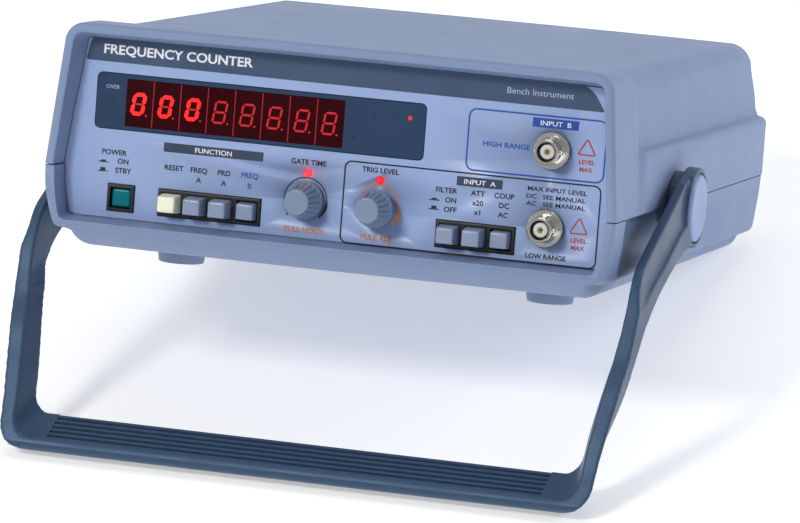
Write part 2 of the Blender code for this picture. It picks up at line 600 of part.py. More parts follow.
# the open space between the arms, with a sloped floor over the grip
inner_rings = []
RI = 6.5
for zs, fade, shrink in [(-72.2, 1, RI), (-71.7, 1, RI * 0.62), (-70.2, 1, RI * 0.28), (-68.0, 1, RI * 0.08), (-65.7, 1, 0),
                         (-50.0, 0.62, 0), (-35.0, 0.3, 0), (-20.0, 0.0, 0), (-15.0, 0, 0), (-11.0, 0, 0), (-7.0, 0, 0),
                         (0.0, 0, 0), (70.0, 0, 0)]:
    def zz(y):
        return zs + GRIP_SLOPE * (y + 21.5) * fade
    taper = 2.9 * smooth01((-7.0 - zs) / 13.0)
    y_in = float(np.interp(-zs, [0, 78], [5.6, -23.0]))
    xf = arm_x(zs) - ARM_T - shrink
    loop = []
    for y, d in ((-45.0, 0.0), (y_in, 0.0), (y_in + 15.0, taper), (140.0, taper)):
        loop.append((xf - d, y, zz(min(y, 35.0))))
    inner_rings.append(loop + [(-x, y, z) for x, y, z in reversed(loop)])
inner_tool = hide(loft("tool_handle_inner", inner_rings, None, 0, cut_col))
boolean(handle, inner_tool)
# sunk web on the outer face of each arm, between the front edge and a rib along the rear edge
WEB = [(78.5, 60.0), (78.5, 40.0), (76.4, 31.5), (78.0, 26.6), (70.9, 23.9), (58.1, 18.4), (44.0, 12.0), (30.6, 6.8), (21.6, 2.7),
       (13.2, -1.6), (9.0, -4.4), (6.0, -4.6), (0.0, 10.0), (0.0, 60.0)]
for s, n in ((-1, "left"), (1, "right")):
    web = hide(loft("tool_web_" + n, [[(x, y, z) for y, z in WEB] for x in (s * 123.8, s * 135.0)], None, 0, cut_col))
    boolean(handle, web)
# pivot bores and cap recesses, finger ribs on the grip
for s, n in ((-1, "left"), (1, "right")):
    bore = hide(cyl("tool_handle_bore_" + n, 8.4, min(s * 100, s * 140), max(s * 100, s * 140), (HUB_Y, HUB_Z), None, 'x', 24,
                    col=cut_col))
    boolean(handle, bore)
    rec = hide(cyl("tool_cap_recess_" + n, CAP_R + 0.4, min(s * 123.0, s * 140), max(s * 123.0, s * 140), (HUB_Y, HUB_Z),
                   None, 'x', 28, col=cut_col))
    boolean(handle, rec)
    turned_cap = cyl("hub_cap_" + n, CAP_R if s > 0 else CAP_R - 1.0, min(s * 123.3, s * 125.9), max(s * 123.3, s * 125.9),
                     (HUB_Y, HUB_Z), CAPBLUE, 'x', 28, r2=CAP_R - 1.0 if s > 0 else CAP_R)
    bm = cyl_bm(14.0, min(s * 115.6, s * 119.2), max(s * 115.6, s * 119.2), (HUB_Y, HUB_Z), 'x', 28)
    hub = link("pivot_hub_" + n, bm, BLACK, 35)
    for tag, r, a0, a1 in (("stub", 7.0, 105.0, 117.0), ("collar", 9.6, 103.4, 106.3), ("journal", 8.0, 118.0, 122.6)):
        t = hide(cyl("tool_hub_%s_%s" % (tag, n), r, min(s * a0, s * a1), max(s * a0, s * a1), (HUB_Y, HUB_Z), None, 'x', 20,
                     col=cut_col))
        boolean(hub, t, 'UNION')

slope = math.atan(GRIP_SLOPE)
for k in range(6):
    t = 2.6 + k * 3.05
    y = -21.5 + t * math.cos(slope)
    z = -72.2 + t * math.sin(slope)
    bm = box_bm(-99.3, 99.3, -0.8, 0.8, -1.4, 0.9)
    bmesh.ops.rotate(bm, verts=bm.verts, matrix=Matrix.Rotation(slope, 3, 'X'))
    bmesh.ops.translate(bm, vec=(0, y, z), verts=bm.verts)
    boolean(handle, hide(link("tool_rib_%d" % k, bm, None, 0, cut_col)))

# ------------------------------------------------------------------ feet
FEET = [("foot_front_left", -FOOT_X, FOOT_Y0), ("foot_front_right", FOOT_X, FOOT_Y0),
        ("foot_rear_left", -FOOT_X, FOOT_Y1), ("foot_rear_right", FOOT_X, FOOT_Y1)]
for name, fx, fy in FEET:
    cyl(name, FOOT_R - 1.0, -FOOT_H, -0.3, (fx, fy), RUBBER, 'z', 20, r2=FOOT_R)

# ------------------------------------------------------------------ rear panel, mains inlet, fuse drawer
rear_out = []
u = upper_inner(REAR_Y, 0.5)
l = lower_inner(REAR_Y, 0.5)
right = u[::-1] + l
rear_out = right + [(-x, z) for x, z in reversed(right)]
rear_panel = plate("rear_panel", rear_out, REAR_Y, REAR_Y + 2.0, STEEL)
IN_X, IN_Z = -58.0, 42.0
boolean(rear_panel, hide(box("tool_inlet_opening", IN_X - 15.4, IN_X + 15.4, 240, 260, IN_Z - 19.4, IN_Z + 19.4, None, cut_col)))
inlet = box("power_inlet", IN_X - 15.0, IN_X + 15.0, 222.0, 249.4, IN_Z - 19.0, IN_Z + 19.0, BLACK)
flange = hide(box("tool_inlet_flange", IN_X - 20.0, IN_X + 20.0, 249.3, 251.6, IN_Z - 21.0, IN_Z + 21.0, None, cut_col))
boolean(inlet, flange, 'UNION')
sock = hide(loft("tool_inlet_socket", [[(x, y, z) for x, z in
                                        [(IN_X - 12.3, IN_Z - 5.0), (IN_X + 12.3, IN_Z - 5.0), (IN_X + 12.3, IN_Z + 8.0),
                                         (IN_X + 8.5, IN_Z + 12.5), (IN_X - 8.5, IN_Z + 12.5), (IN_X - 12.3, IN_Z + 8.0)]]
                                       for y in (235.0, 256.0)], None, 0, cut_col))
boolean(inlet, sock)
for k, px in enumerate((-7.0, 0.0, 7.0)):
    pin = hide(box("tool_inlet_pin_%d" % k, IN_X + px - 1.0, IN_X + px + 1.0, 234.0, 249.0,
                   IN_Z + (5.2 if k == 1 else 1.4) - 2.0, IN_Z + (5.2 if k == 1 else 1.4) + 2.0, None, cut_col))
    boolean(inlet, pin, 'UNION')
boolean(inlet, hide(box("tool_fuse_slot", IN_X - 10.4, IN_X + 10.4, 228.0, 256.0, IN_Z - 16.9, IN_Z - 8.1, None, cut_col)))
drawer = box("fuse_drawer", IN_X - 10.0, IN_X + 10.0, 229.0, 251.9, IN_Z - 16.5, IN_Z - 8.5, BLACK)
boolean(drawer, hide(box("tool_fuse_cradle", IN_X - 7.0, IN_X + 7.0, 231.5, 248.0, IN_Z - 13.5, IN_Z - 4.0, None, cut_col)))

# ------------------------------------------------------------------ inside
box("main_board", -80.0, 96.0, 60.0, 218.0, 12.0, 13.6, BOARD)
core = box("transformer_core", -76.0, -22.0, 160.0, 205.0, 14.0, 62.0, STEEL)
for k, (a, b) in enumerate(((-67.0, -55.8), (-42.2, -31.0))):
    boolean(core, hide(box("tool_core_window_%d" % k, a, b, 150, 215, 23.0, 53.0, None, cut_col)))
winding = box("transformer_winding", -66.6, -31.4, 152.0, 213.0, 23.4, 52.6, COPPER)
boolean(winding, hide(box("tool_winding_bore", -56.1, -41.9, 159.6, 205.4, 5.0, 90.0, None, cut_col)))
rf = box("rf_shield_can", 30.0, 92.0, 66.0, 112.0, 14.0, 34.0, STEEL)
boolean(rf, hide(box("tool_can_hollow", 30.6, 91.4, 66.6, 111.4, 10.0, 33.4, None, cut_col)))

# ------------------------------------------------------------------ stand the case on its grip and rear feet
case_frame.rotation_euler = (-TILT, 0.0, 0.0)
for ob in list(main_col.objects) + list(cut_col.objects):
    if ob is not case_frame:
        ob.parent = case_frame
bpy.context.view_layer.update()
lo = Vector((1e9, 1e9, 1e9))
hi = Vector((-1e9, -1e9, -1e9))
deps = bpy.context.evaluated_depsgraph_get()
for ob in main_col.objects:
    if ob.type != 'MESH':
        continue
    ev = ob.evaluated_get(deps)
    me = ev.to_mesh()
    mw = ob.matrix_world
    co = np.empty(len(me.vertices) * 3)
    me.vertices.foreach_get("co", co)
    co = co.reshape(-1, 3) @ np.array(mw.to_3x3()).T + np.array(mw.translation)
    for i in range(3):
        lo[i] = min(lo[i], co[:, i].min())
        hi[i] = max(hi[i], co[:, i].max())
    ev.to_mesh_clear()
case_frame.location = (0.0, -round((lo.y + hi.y) / 2, 6), -round(lo.z, 6))
bpy.context.view_layer.update()
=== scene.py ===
import json
import math
import bpy
import bmesh
import numpy as np
from mathutils import Matrix, Vector

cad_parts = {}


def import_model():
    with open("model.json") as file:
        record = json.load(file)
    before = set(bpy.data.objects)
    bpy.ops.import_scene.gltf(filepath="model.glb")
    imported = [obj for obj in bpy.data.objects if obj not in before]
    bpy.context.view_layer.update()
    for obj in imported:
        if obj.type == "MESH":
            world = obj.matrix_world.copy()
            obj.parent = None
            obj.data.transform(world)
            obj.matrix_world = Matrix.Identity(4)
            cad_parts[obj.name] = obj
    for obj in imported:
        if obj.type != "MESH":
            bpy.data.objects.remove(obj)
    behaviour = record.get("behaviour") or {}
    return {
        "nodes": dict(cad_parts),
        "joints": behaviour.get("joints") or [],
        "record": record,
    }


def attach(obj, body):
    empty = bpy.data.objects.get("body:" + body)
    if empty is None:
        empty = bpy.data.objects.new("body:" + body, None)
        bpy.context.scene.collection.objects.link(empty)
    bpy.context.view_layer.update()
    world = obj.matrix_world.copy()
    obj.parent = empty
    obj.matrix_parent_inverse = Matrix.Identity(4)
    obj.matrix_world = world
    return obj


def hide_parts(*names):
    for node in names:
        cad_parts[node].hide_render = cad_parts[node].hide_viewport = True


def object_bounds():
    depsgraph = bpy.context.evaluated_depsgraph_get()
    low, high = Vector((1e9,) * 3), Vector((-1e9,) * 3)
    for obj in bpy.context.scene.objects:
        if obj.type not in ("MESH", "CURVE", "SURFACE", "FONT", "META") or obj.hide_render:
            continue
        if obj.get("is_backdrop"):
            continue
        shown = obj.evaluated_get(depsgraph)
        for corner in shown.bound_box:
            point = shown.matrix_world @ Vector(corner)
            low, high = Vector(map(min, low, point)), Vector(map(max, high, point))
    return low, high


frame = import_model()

cad_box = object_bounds()

# ---------------------------------------------------------------- the case's own frame, in mm
HALF_W, CASE_D = 115.0, 255.5
PART_Z, TOP_FRONT, TOP_REAR = 32.0, 88.3, 85.8
BLOCK_D, BELT_Z, WALL, LIP_END, SILL_Z = 36.0, 56.0, 2.6, 11.4, 11.0
OVERLAY_Y, OVERLAY_T, PANEL_Y, PANEL_T = 11.0, 0.6, 11.9, 2.5
WIN = (-98.9, 34.3, 47.3, 68.9)
KNOBS = {"gate": ((-11.3, 27.5), 0.0), "trigger": ((18.0, 27.5), -4.0)}
LEDS = {"gate_led": (-10.9, 37.9), "trigger_led": (18.1, 37.9)}
BNC = {"a": (85.0, 26.2), "b": (85.3, 56.2)}
PITCH, FRAME_H, CAP_W, CAP_H = 10.3, 10.4, 8.0, 7.4
BANKS = {"power": (-86.2, 1, 20.55), "function": (-49.95, 4, 20.55), "input": (57.4, 3, 20.0)}
HUB_Y, HUB_Z, HUB_R, CAP_R, ARM_T = 93.0, 31.5, 16.0, 13.5, 5.6

TILT = math.atan2(69.2, 233.4)
R = Matrix.Rotation(-TILT, 3, 'X')
hinge = [j for j in frame["joints"] if j["name"] == "handle_tilt"][0]
ORIGIN = Vector(hinge["pos_m"]) - R @ Vector((0.0, HUB_Y * .001, HUB_Z * .001))
M = Matrix.Translation(ORIGIN) @ R.to_4x4()


def world(p):
    return M @ (Vector(p) * 0.001)


# ---------------------------------------------------------------- materials
def srgb(r, g, b):
    f = lambda c: c / 12.92 if c <= 0.04045 else ((c + 0.055) / 1.055) ** 2.4
    return (f(r / 255.0), f(g / 255.0), f(b / 255.0), 1.0)


def scaled(c, k):
    return (min(1, c[0] * k), min(1, c[1] * k), min(1, c[2] * k), 1.0)


def surface(name, col, rough=0.45, metal=0.0, grain=900.0, bump=0.12, var=0.06, rough_var=0.08, wear=0.0,
            wear_col=None, coat=0.0, spec=0.5, streak=None, emit=None, emit_k=0.0, tint=None, sheen=0.0):
    """A moulded, painted or metal surface: colour drift, grain bump, uneven gloss and worn edges."""
    m = bpy.data.materials.new(name)
    m.use_nodes = True
    nt = m.node_tree
    b = nt.nodes["Principled BSDF"]
    b.inputs["Metallic"].default_value = metal
    b.inputs["Specular IOR Level"].default_value = spec
    b.inputs["Coat Weight"].default_value = coat
    b.inputs["Coat Roughness"].default_value = 0.08
    if tint:
        b.inputs["Specular Tint"].default_value = tint
    if sheen:
        b.inputs["Sheen Weight"].default_value = sheen
        b.inputs["Sheen Tint"].default_value = tint
    tc = nt.nodes.new("ShaderNodeTexCoord")
    mp = nt.nodes.new("ShaderNodeMapping")
    nt.links.new(tc.outputs["Object"], mp.inputs["Vector"])
    if streak:
        mp.inputs["Scale"].default_value = streak

    def noise(scale, detail, src):
        n = nt.nodes.new("ShaderNodeTexNoise")
        n.inputs["Scale"].default_value = scale
        n.inputs["Detail"].default_value = detail
        nt.links.new(src, n.inputs["Vector"])
        return n

    def ramp(src, a, c):
        r = nt.nodes.new("ShaderNodeMapRange")
        r.inputs["From Min"].default_value = 0.3
        r.inputs["From Max"].default_value = 0.7
        r.inputs["To Min"].default_value = a
        r.inputs["To Max"].default_value = c
        nt.links.new(src, r.inputs["Value"])
        return r

    n1 = noise(14.0, 4.0, tc.outputs["Object"])
    mixc = nt.nodes.new("ShaderNodeMix")
    mixc.data_type = 'RGBA'
    mixc.inputs["A"].default_value = scaled(col, 1 - var)
    mixc.inputs["B"].default_value = scaled(col, 1 + var)
    nt.links.new(n1.outputs["Fac"], mixc.inputs["Factor"])
    out = mixc.outputs["Result"]
    if wear > 0:
        geo = nt.nodes.new("ShaderNodeNewGeometry")
        wr = nt.nodes.new("ShaderNodeMapRange")
        wr.inputs["From Min"].default_value = 0.515
        wr.inputs["From Max"].default_value = 0.56
        wr.inputs["To Min"].default_value = 0.0
        wr.inputs["To Max"].default_value = wear
        nt.links.new(geo.outputs["Pointiness"], wr.inputs["Value"])
        n2 = noise(160.0, 3.0, tc.outputs["Object"])
        mul = nt.nodes.new("ShaderNodeMath")
        mul.operation = 'MULTIPLY'
        nt.links.new(wr.outputs["Result"], mul.inputs[0])
        nt.links.new(n2.outputs["Fac"], mul.inputs[1])
        mw = nt.nodes.new("ShaderNodeMix")
        mw.data_type = 'RGBA'
        mw.inputs["B"].default_value = wear_col or scaled(col, 1.5)
        nt.links.new(out, mw.inputs["A"])
        nt.links.new(mul.outputs["Value"], mw.inputs["Factor"])
        out = mw.outputs["Result"]
    nt.links.new(out, b.inputs["Base Color"])
    n3 = noise(45.0, 5.0, mp.outputs["Vector"])
    rr = ramp(n3.outputs["Fac"], max(0.03, rough - rough_var), min(1.0, rough + rough_var))
    nt.links.new(rr.outputs["Result"], b.inputs["Roughness"])
    n4 = noise(grain, 2.0, mp.outputs["Vector"])
    bp = nt.nodes.new("ShaderNodeBump")
    bp.inputs["Strength"].default_value = bump
    bp.inputs["Distance"].default_value = 0.0002
    nt.links.new(n4.outputs["Fac"], bp.inputs["Height"])
    nt.links.new(bp.outputs["Normal"], b.inputs["Normal"])
    if emit:
        b.inputs["Emission Color"].default_value = emit
        b.inputs["Emission Strength"].default_value = emit_k
    return m


CASE = surface("case_plastic", srgb(129, 148, 185), 0.52, grain=1500, bump=0.18, var=0.02, rough_var=0.04, wear=0.25, spec=0.35,
               wear_col=srgb(170, 184, 214))
# panel plastic: its pale blue-grey is made lighter so the edge strip beside the overlay shows a painted highlight on
# the bevel
PANEL_GLINT = surface("panel_plastic", srgb(176, 190, 214), 0.45, grain=1500, bump=0.15, var=0.03)
OVERLAY = surface("overlay_film", srgb(156, 178, 224), 0.36, grain=2600, bump=0.10, var=0.03, rough_var=0.05)
WINDOW = surface("window_acrylic", srgb(45, 68, 99), 0.16, grain=300, bump=0.01, var=0.10, rough_var=0.04, coat=0.1, spec=0.35)
HANDLE = surface("handle_plastic", srgb(60, 80, 106), 0.40, grain=1300, bump=0.22, var=0.05, wear=0.5,
                 wear_col=srgb(92, 112, 156), spec=0.45, tint=(0.45, 0.65, 1.0, 1))
HUBCAP = surface("hub_cap_plastic", srgb(142, 160, 205), 0.42, grain=1400, bump=0.18, var=0.04, wear=0.2)
HUB = surface("hub_plastic", srgb(66, 82, 104), 0.5, grain=1300, bump=0.2)
BLACK = surface("black_plastic", srgb(24, 25, 30), 0.42, grain=1400, bump=0.2, var=0.15)
NAVY = surface("navy_ink", srgb(60, 80, 112), 0.38, grain=2600, bump=0.08, var=0.05)
DARKINK = surface("bar_ink", srgb(50, 66, 92), 0.4, grain=2600, bump=0.08, var=0.05)
BLUEINK = surface("blue_ink", srgb(16, 74, 170), 0.4, grain=2600, bump=0.08, var=0.05)
INK = surface("black_ink", srgb(10, 13, 22), 0.45, grain=2600, bump=0.08, var=0.08)
WHITE = surface("white_ink", srgb(236, 240, 246), 0.45, grain=2600, bump=0.08, var=0.03)
PALE = surface("pale_ink", srgb(176, 190, 216), 0.45, grain=2600, bump=0.08, var=0.03)
ORANGE = surface("orange_ink", srgb(226, 132, 40), 0.45, grain=2600, bump=0.08, var=0.04)
REDINK = surface("red_ink", srgb(178, 62, 48), 0.45, grain=2600, bump=0.08, var=0.04)
# the cell mask's faint red emission is a painted glow; the mask is not a lamp
CELL = surface("cell_mask", srgb(28, 3, 8), 0.3, grain=500, bump=0.03, var=0.3, spec=0.08, emit=(1.0, 0.01, 0.05, 1), emit_k=0.02)
# the divider lines' red emission is a painted glow, standing in for light spilled from the lit segments
CELLLINE = surface("cell_divider_painted_glow", srgb(120, 18, 34), 0.3, grain=800, bump=0.05, var=0.35,
                   emit=(0.5, 0.01, 0.03, 1), emit_k=0.25)
LIT = surface("segment_lit", srgb(200, 10, 12), 0.3, grain=500, bump=0.03, emit=(1.0, 0.012, 0.012, 1), emit_k=1.5)
# unlit segments: their red emission is a painted glow, standing in for light reflected off them
DIM = surface("segment_unlit_painted_glow", srgb(120, 12, 16), 0.3, grain=500, bump=0.03, var=0.3, emit=(1.0, 0.02, 0.03, 1), emit_k=0.42)
DARKDOT = surface("dot_unlit", srgb(34, 48, 70), 0.3, grain=500, bump=0.03)
LEDON = surface("led_lens_lit", srgb(210, 14, 20), 0.25, grain=500, bump=0.02, emit=(1.0, 0.02, 0.03, 1), emit_k=0.8)
LEDHALO = surface("led_lens_bright", srgb(225, 16, 24), 0.25, grain=500, bump=0.02, emit=(1.0, 0.03, 0.04, 1), emit_k=2.0)
LEDOFF = surface("led_lens_dark", srgb(40, 14, 24), 0.25, grain=500, bump=0.02)
TEAL = surface("button_teal", srgb(0, 118, 134), 0.25, grain=900, bump=0.06, var=0.06, coat=0.05, spec=0.2)
CREAM = surface("button_cream", srgb(248, 250, 224), 0.38, grain=1200, bump=0.1, var=0.03)
GREY = surface("button_grey", srgb(140, 154, 184), 0.32, grain=1200, bump=0.1, var=0.04, coat=0.1)
KNOB = surface("knob_plastic", srgb(126, 144, 172), 0.34, grain=1400, bump=0.12, var=0.05, coat=0.05)
STEEL = surface("sheet_steel", (0.62, 0.63, 0.64, 1), 0.38, 1.0, grain=500, bump=0.1, var=0.05, streak=(1, 40, 40))
NICKEL = surface("nickel_plate", (0.84, 0.80, 0.71, 1), 0.16, 1.0, grain=700, bump=0.05, var=0.05, rough_var=0.06)
PTFE = surface("fluoropolymer", srgb(206, 210, 212), 0.4, grain=900, bump=0.1)
GOLD = surface("gold_contact", (0.86, 0.60, 0.26, 1), 0.25, 1.0, grain=700, bump=0.05)
RUBBER = surface("foot_rubber", srgb(132, 148, 180), 0.62, grain=1300, bump=0.3, var=0.06)
BOARD = surface("circuit_board", srgb(24, 92, 54), 0.4, grain=600, bump=0.15, var=0.15)
COPPER = surface("winding_tape", srgb(168, 112, 60), 0.45, grain=420, bump=0.4, var=0.15, streak=(1, 1, 14))

BY_SLOT = {"case": CASE, "panel": PANEL_GLINT, "overlay": OVERLAY, "window": WINDOW, "handle": HANDLE, "hub_cap": HUBCAP,
           "hub": HUB, "black_plastic": BLACK, "led": LEDON, "button_teal": TEAL, "button_cream": CREAM,
           "button_grey": GREY, "knob": KNOB, "steel": STEEL, "nickel": NICKEL, "insulator": PTFE, "contact": GOLD,
           "rubber_foot": RUBBER, "circuit_board": BOARD, "winding": COPPER}
SLOT_OF, BODY_OF = {}, {}
for sub in frame["record"]["subparts"]:
    SLOT_OF[sub["node"]] = sub["material_slot"]
for body, members in frame["record"]["behaviour"]["bodies"].items():
    for n in members:
        BODY_OF[n] = body
for n, ob in frame["nodes"].items():
    ob.data.materials.clear()
    ob.data.materials.append(BY_SLOT[SLOT_OF[n]])
frame["nodes"]["overflow_led"].data.materials[0] = LEDOFF


# ---------------------------------------------------------------- mesh helpers
tools = bpy.data.collections.new("tools")
bpy.context.scene.collection.children.link(tools)


def put(name, bm, mat=None, smooth=30.0):
    """Mesh object in the case frame: vertices in case millimetres become metres, object placed by M."""
    me = bpy.data.meshes.new(name)
    bmesh.ops.scale(bm, vec=(.001, .001, .001), verts=bm.verts)
    bmesh.ops.recalc_face_normals(bm, faces=bm.faces)
    bm.to_mesh(me)
    bm.free()
    if smooth:
        me.shade_smooth()
        me.set_sharp_from_angle(angle=math.radians(smooth))
    ob = bpy.data.objects.new(name, me)
    if mat:
        me.materials.append(mat)
    bpy.context.scene.collection.objects.link(ob)
    ob.matrix_world = M
    return ob


def bake(ob, smooth=None):
    """Apply every modifier."""
    deps = bpy.context.evaluated_depsgraph_get()
    deps.update()
    me = bpy.data.meshes.new_from_object(ob.evaluated_get(deps))
    ob.modifiers.clear()
    ob.data = me
    if smooth:
        me.shade_smooth()
        me.set_sharp_from_angle(angle=math.radians(smooth))
    return ob


def cut(ob, cutters, op='DIFFERENCE'):
    for t in cutters:
        m = ob.modifiers.new("cut", 'BOOLEAN')
        m.operation, m.solver, m.object = op, 'EXACT', t
    bake(ob)
    for t in cutters:
        bpy.data.objects.remove(t)
    return ob


def bevel(ob, width, seg=3, angle=30.0, smooth=40.0):
    m = ob.modifiers.new("bevel", 'BEVEL')
    m.width, m.segments, m.limit_method, m.angle_limit = width * .001, seg, 'ANGLE', math.radians(angle)
    m.use_clamp_overlap = True
    return bake(ob, smooth)


def done(ob, body, *nodes, slot=None):
    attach(ob, body)
    if nodes:
        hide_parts(*nodes)
    slot = slot or (SLOT_OF[nodes[0]] if nodes else None)
    return ob


def loft_bm(rings, bm=None):
    bm = bm or bmesh.new()
    vr = [[bm.verts.new(p) for p in ring] for ring in rings]
    n = len(rings[0])
    for a, b in zip(vr, vr[1:]):
        for j in range(n):
            k = (j + 1) % n
            bm.faces.new((a[j], a[k], b[k], b[j]))
    bm.faces.new(list(reversed(vr[0])))
    bm.faces.new(vr[-1])
    return bm


def loft(name, rings, mat=None, smooth=30.0):
    return put(name, loft_bm(rings), mat, smooth)


def box_bm(x0, x1, y0, y1, z0, z1, bm=None):
    bm = bm or bmesh.new()
    r = bmesh.ops.create_cube(bm, size=1.0)
    bmesh.ops.scale(bm, vec=(x1 - x0, y1 - y0, z1 - z0), verts=r['verts'])
    bmesh.ops.translate(bm, vec=((x0 + x1) / 2, (y0 + y1) / 2, (z0 + z1) / 2), verts=r['verts'])
    return bm


def box(name, x0, x1, y0, y1, z0, z1, mat=None):
    return put(name, box_bm(x0, x1, y0, y1, z0, z1), mat, 0)


def turned_bm(profile, centre, seg=64, axis='y', shape=None):
    """Closed profile of (radius, along) turned about an axis through centre. shape(angle, r, along) changes r."""
    bm = bmesh.new()
    rings = []
    for i in range(seg):
        a = 2 * math.pi * i / seg
        col = []
        for r, y in profile:
            q = shape(a, r, y) if shape else r
            c, s = q * math.cos(a), q * math.sin(a)
            col.append(bm.verts.new((centre[0] + c, y, centre[1] + s) if axis == 'y' else
                                    (y, centre[0] + c, centre[1] + s) if axis == 'x' else
                                    (centre[0] + c, centre[1] + s, y)))
        rings.append(col)
    n = len(profile)
    for i in range(seg):
        a, b = rings[i], rings[(i + 1) % seg]
        for j in range(n):
            k = (j + 1) % n
            if profile[j][0] < 1e-6 and profile[k][0] < 1e-6:
                continue
            bm.faces.new((a[j], a[k], b[k], b[j]))
    bmesh.ops.remove_doubles(bm, verts=bm.verts, dist=1e-5)
    bmesh.ops.dissolve_degenerate(bm, edges=bm.edges, dist=1e-5)
    return bm


def turned(name, profile, centre, mat=None, seg=64, axis='y', smooth=38, shape=None):
    return put(name, turned_bm(profile, centre, seg, axis, shape), mat, smooth)


def rounded_rect(x0, x1, z0, z1, r, k=6):
    pts = []
    for cx, cz, a0 in ((x1 - r, z1 - r, 0), (x0 + r, z1 - r, 90), (x0 + r, z0 + r, 180), (x1 - r, z0 + r, 270)):
        for i in range(k + 1):
            a = math.radians(a0 + 90.0 * i / k)
            pts.append((cx + r * math.cos(a), cz + r * math.sin(a)))
    return pts


def smooth01(t):
    t = min(1.0, max(0.0, t))
    return t * t * (3 - 2 * t)


def mix(a, b, w):
    return a + (b - a) * w


def round_corners(path, spec, k=4):
    """Replace listed corners of an open path by short curves of k + 1 points."""
    out = []
    for i, p in enumerate(path):
        if i not in spec:
            out.append(p)
            continue
        a, b = path[i - 1], path[i + 1]
        la, lb = math.dist(a, p), math.dist(b, p)
        d = min(spec[i], 0.48 * la, 0.48 * lb)
        p0 = (p[0] + (a[0] - p[0]) * d / la, p[1] + (a[1] - p[1]) * d / la)
        p1 = (p[0] + (b[0] - p[0]) * d / lb, p[1] + (b[1] - p[1]) * d / lb)
        for j in range(k + 1):
            t = j / k
            out.append(((1 - t) ** 2 * p0[0] + 2 * t * (1 - t) * p[0] + t * t * p1[0],
                        (1 - t) ** 2 * p0[1] + 2 * t * (1 - t) * p[1] + t * t * p1[1]))
    return out


# ---------------------------------------------------------------- case outlines
ARC = [math.radians(90.0 * k / 12) for k in range(13)]


def inset(path, d):
    out = []
    for i, (x, z) in enumerate(path):
        dist = d(x, z) if callable(d) else d
        a, b = path[max(0, i - 1)], path[min(len(path) - 1, i + 1)]
        tx, tz = b[0] - a[0], b[1] - a[1]
        n = math.hypot(tx, tz) or 1.0
        nx, nz = tz / n, -tx / n
        if nx * (0 - x) + nz * (45.0 - z) < 0:
            nx, nz = -nx, -nz
        if i == 0:
            nx, nz = -1.0, 0.0
        out.append((x + nx * dist, z + nz * dist))
    return out


def upper_outline(y):
    w = smooth01((y - BLOCK_D) / 7.0)
    wt = smooth01((y - 16.0) / 26.0)
    top = mix(TOP_FRONT, TOP_REAR, wt)
    r = mix(8.0, 10.0, w)
    xs = lambda z: HALF_W - 0.098 * (z - PART_Z)
    pts = [(mix(HALF_W, HALF_W + 0.2, w), PART_Z + 0.2),
           (mix(xs(BELT_Z - 1.5), HALF_W + 0.2, w), BELT_Z - 1.5),
           (mix(xs(BELT_Z), HALF_W - 0.9, w), BELT_Z),
           (mix(xs(BELT_Z + 1.2), 110.6, w), mix(BELT_Z + 1.2, BELT_Z + 1.0, w)),
           (mix(xs(66.0), 109.2, w), 66.0)]
    cx = mix(xs(top - r) - r, 106.9 - r, w)
    for a in ARC:
        pts.append((cx + r * math.cos(a), top - r + r * math.sin(a)))
    pts.append((60.0, top + 0.25))
    pts.append((20.0, top + 0.35))
    return round_corners(pts, {1: 1.2, 2: 1.2, 3: 1.2}, 4)


def upper_inner(y, gap=0.0):
    w = smooth01((y - BLOCK_D) / 7.0)
    wt = smooth01((y - 16.0) / 26.0)
    top = mix(TOP_FRONT, TOP_REAR, wt)
    r = mix(8.0, 10.0, w)
    t = WALL + gap
    xs = lambda z: HALF_W - 0.098 * (z - PART_Z)
    pts = [(mix(HALF_W, HALF_W + 0.2, w) - t - 0.1, PART_Z + 0.2),
           (mix(xs(52.8), HALF_W + 0.2, w) - t - 0.1, 52.8 - gap),
           (mix(xs(53.9), HALF_W - 1.0, w) - t - 0.1, 53.9 - gap),
           (mix(xs(54.8), 110.8, w) - t - 0.1, 54.8 - gap),
           (mix(xs(66.0), 109.2, w) - t, 66.0)]
    cx = mix(xs(top - r) - r, 106.9 - r, w)
    for a in ARC:
        pts.append((cx + (r - t) * math.cos(a), top - r + (r - t) * math.sin(a)))
    pts.append((60.0, top + 0.25 - t))
    pts.append((20.0, top + 0.35 - t))
    return round_corners(pts, {1: 0.6, 2: 0.6, 3: 0.6}, 4)


LOWER_SPEC = {1: 3.0, 2: 3.0, 3: 1.6, 4: 1.0, 5: 1.0, 6: 1.0, 7: 1.0, 8: 1.2, 9: 1.6, 10: 1.6, 11: 2.0}


SKIRT_Z, SKIRT_Y = 7.6, 19.0   # the raked front of the belly: height under the sill, depth where it ends
RIM_FRONT = [(HALF_W - 0.1, PART_Z - 0.3), (HALF_W - 0.5, 24.0), (112.4, 15.5), (110.7, 10.6), (109.6, 8.7), (108.0, 7.9),
             (104.4, 7.8), (103.4, 7.6), (102.9, 7.6), (102.2, 7.6), (101.0, 7.6), (98.5, 7.6), (20.0, 7.6)]
RIM_REAR = [(HALF_W - 0.1, PART_Z - 0.3), (HALF_W - 0.5, 24.0), (113.6, 15.5), (113.0, 10.6), (112.4, 8.8), (111.0, 7.6),
            (108.3, 6.9), (106.9, 6.0), (106.2, 4.4), (105.3, 2.8), (103.8, 1.2), (101.0, 0.2), (20.0, 0.0)]


def skirt_z(y):
    """Height of the belly's underside: it falls back from under the sill."""
    return SKIRT_Z * (1 - min(1.0, y / SKIRT_Y)) ** 1.25


def lower_outline(y):
    w = smooth01(y / 17.0)
    zb = skirt_z(y)
    rec = 4.6 * smooth01((y - 16.0) / 5.0) * (1 - smooth01((y - 126.0) / 12.0))
    out = []
    for (xa, za), (xb, zc) in zip(RIM_FRONT, RIM_REAR):
        x, z = mix(xa, xb, w), mix(za, zc, w)
        if x > 107.5:
            x -= rec * smooth01((z - 8.0) / 9.0)
        if zc < 6.5:
            z = zb + zc * (SKIRT_Z - zb) / SKIRT_Z
        out.append((x, z))
    return round_corners(out, LOWER_SPEC, 3)


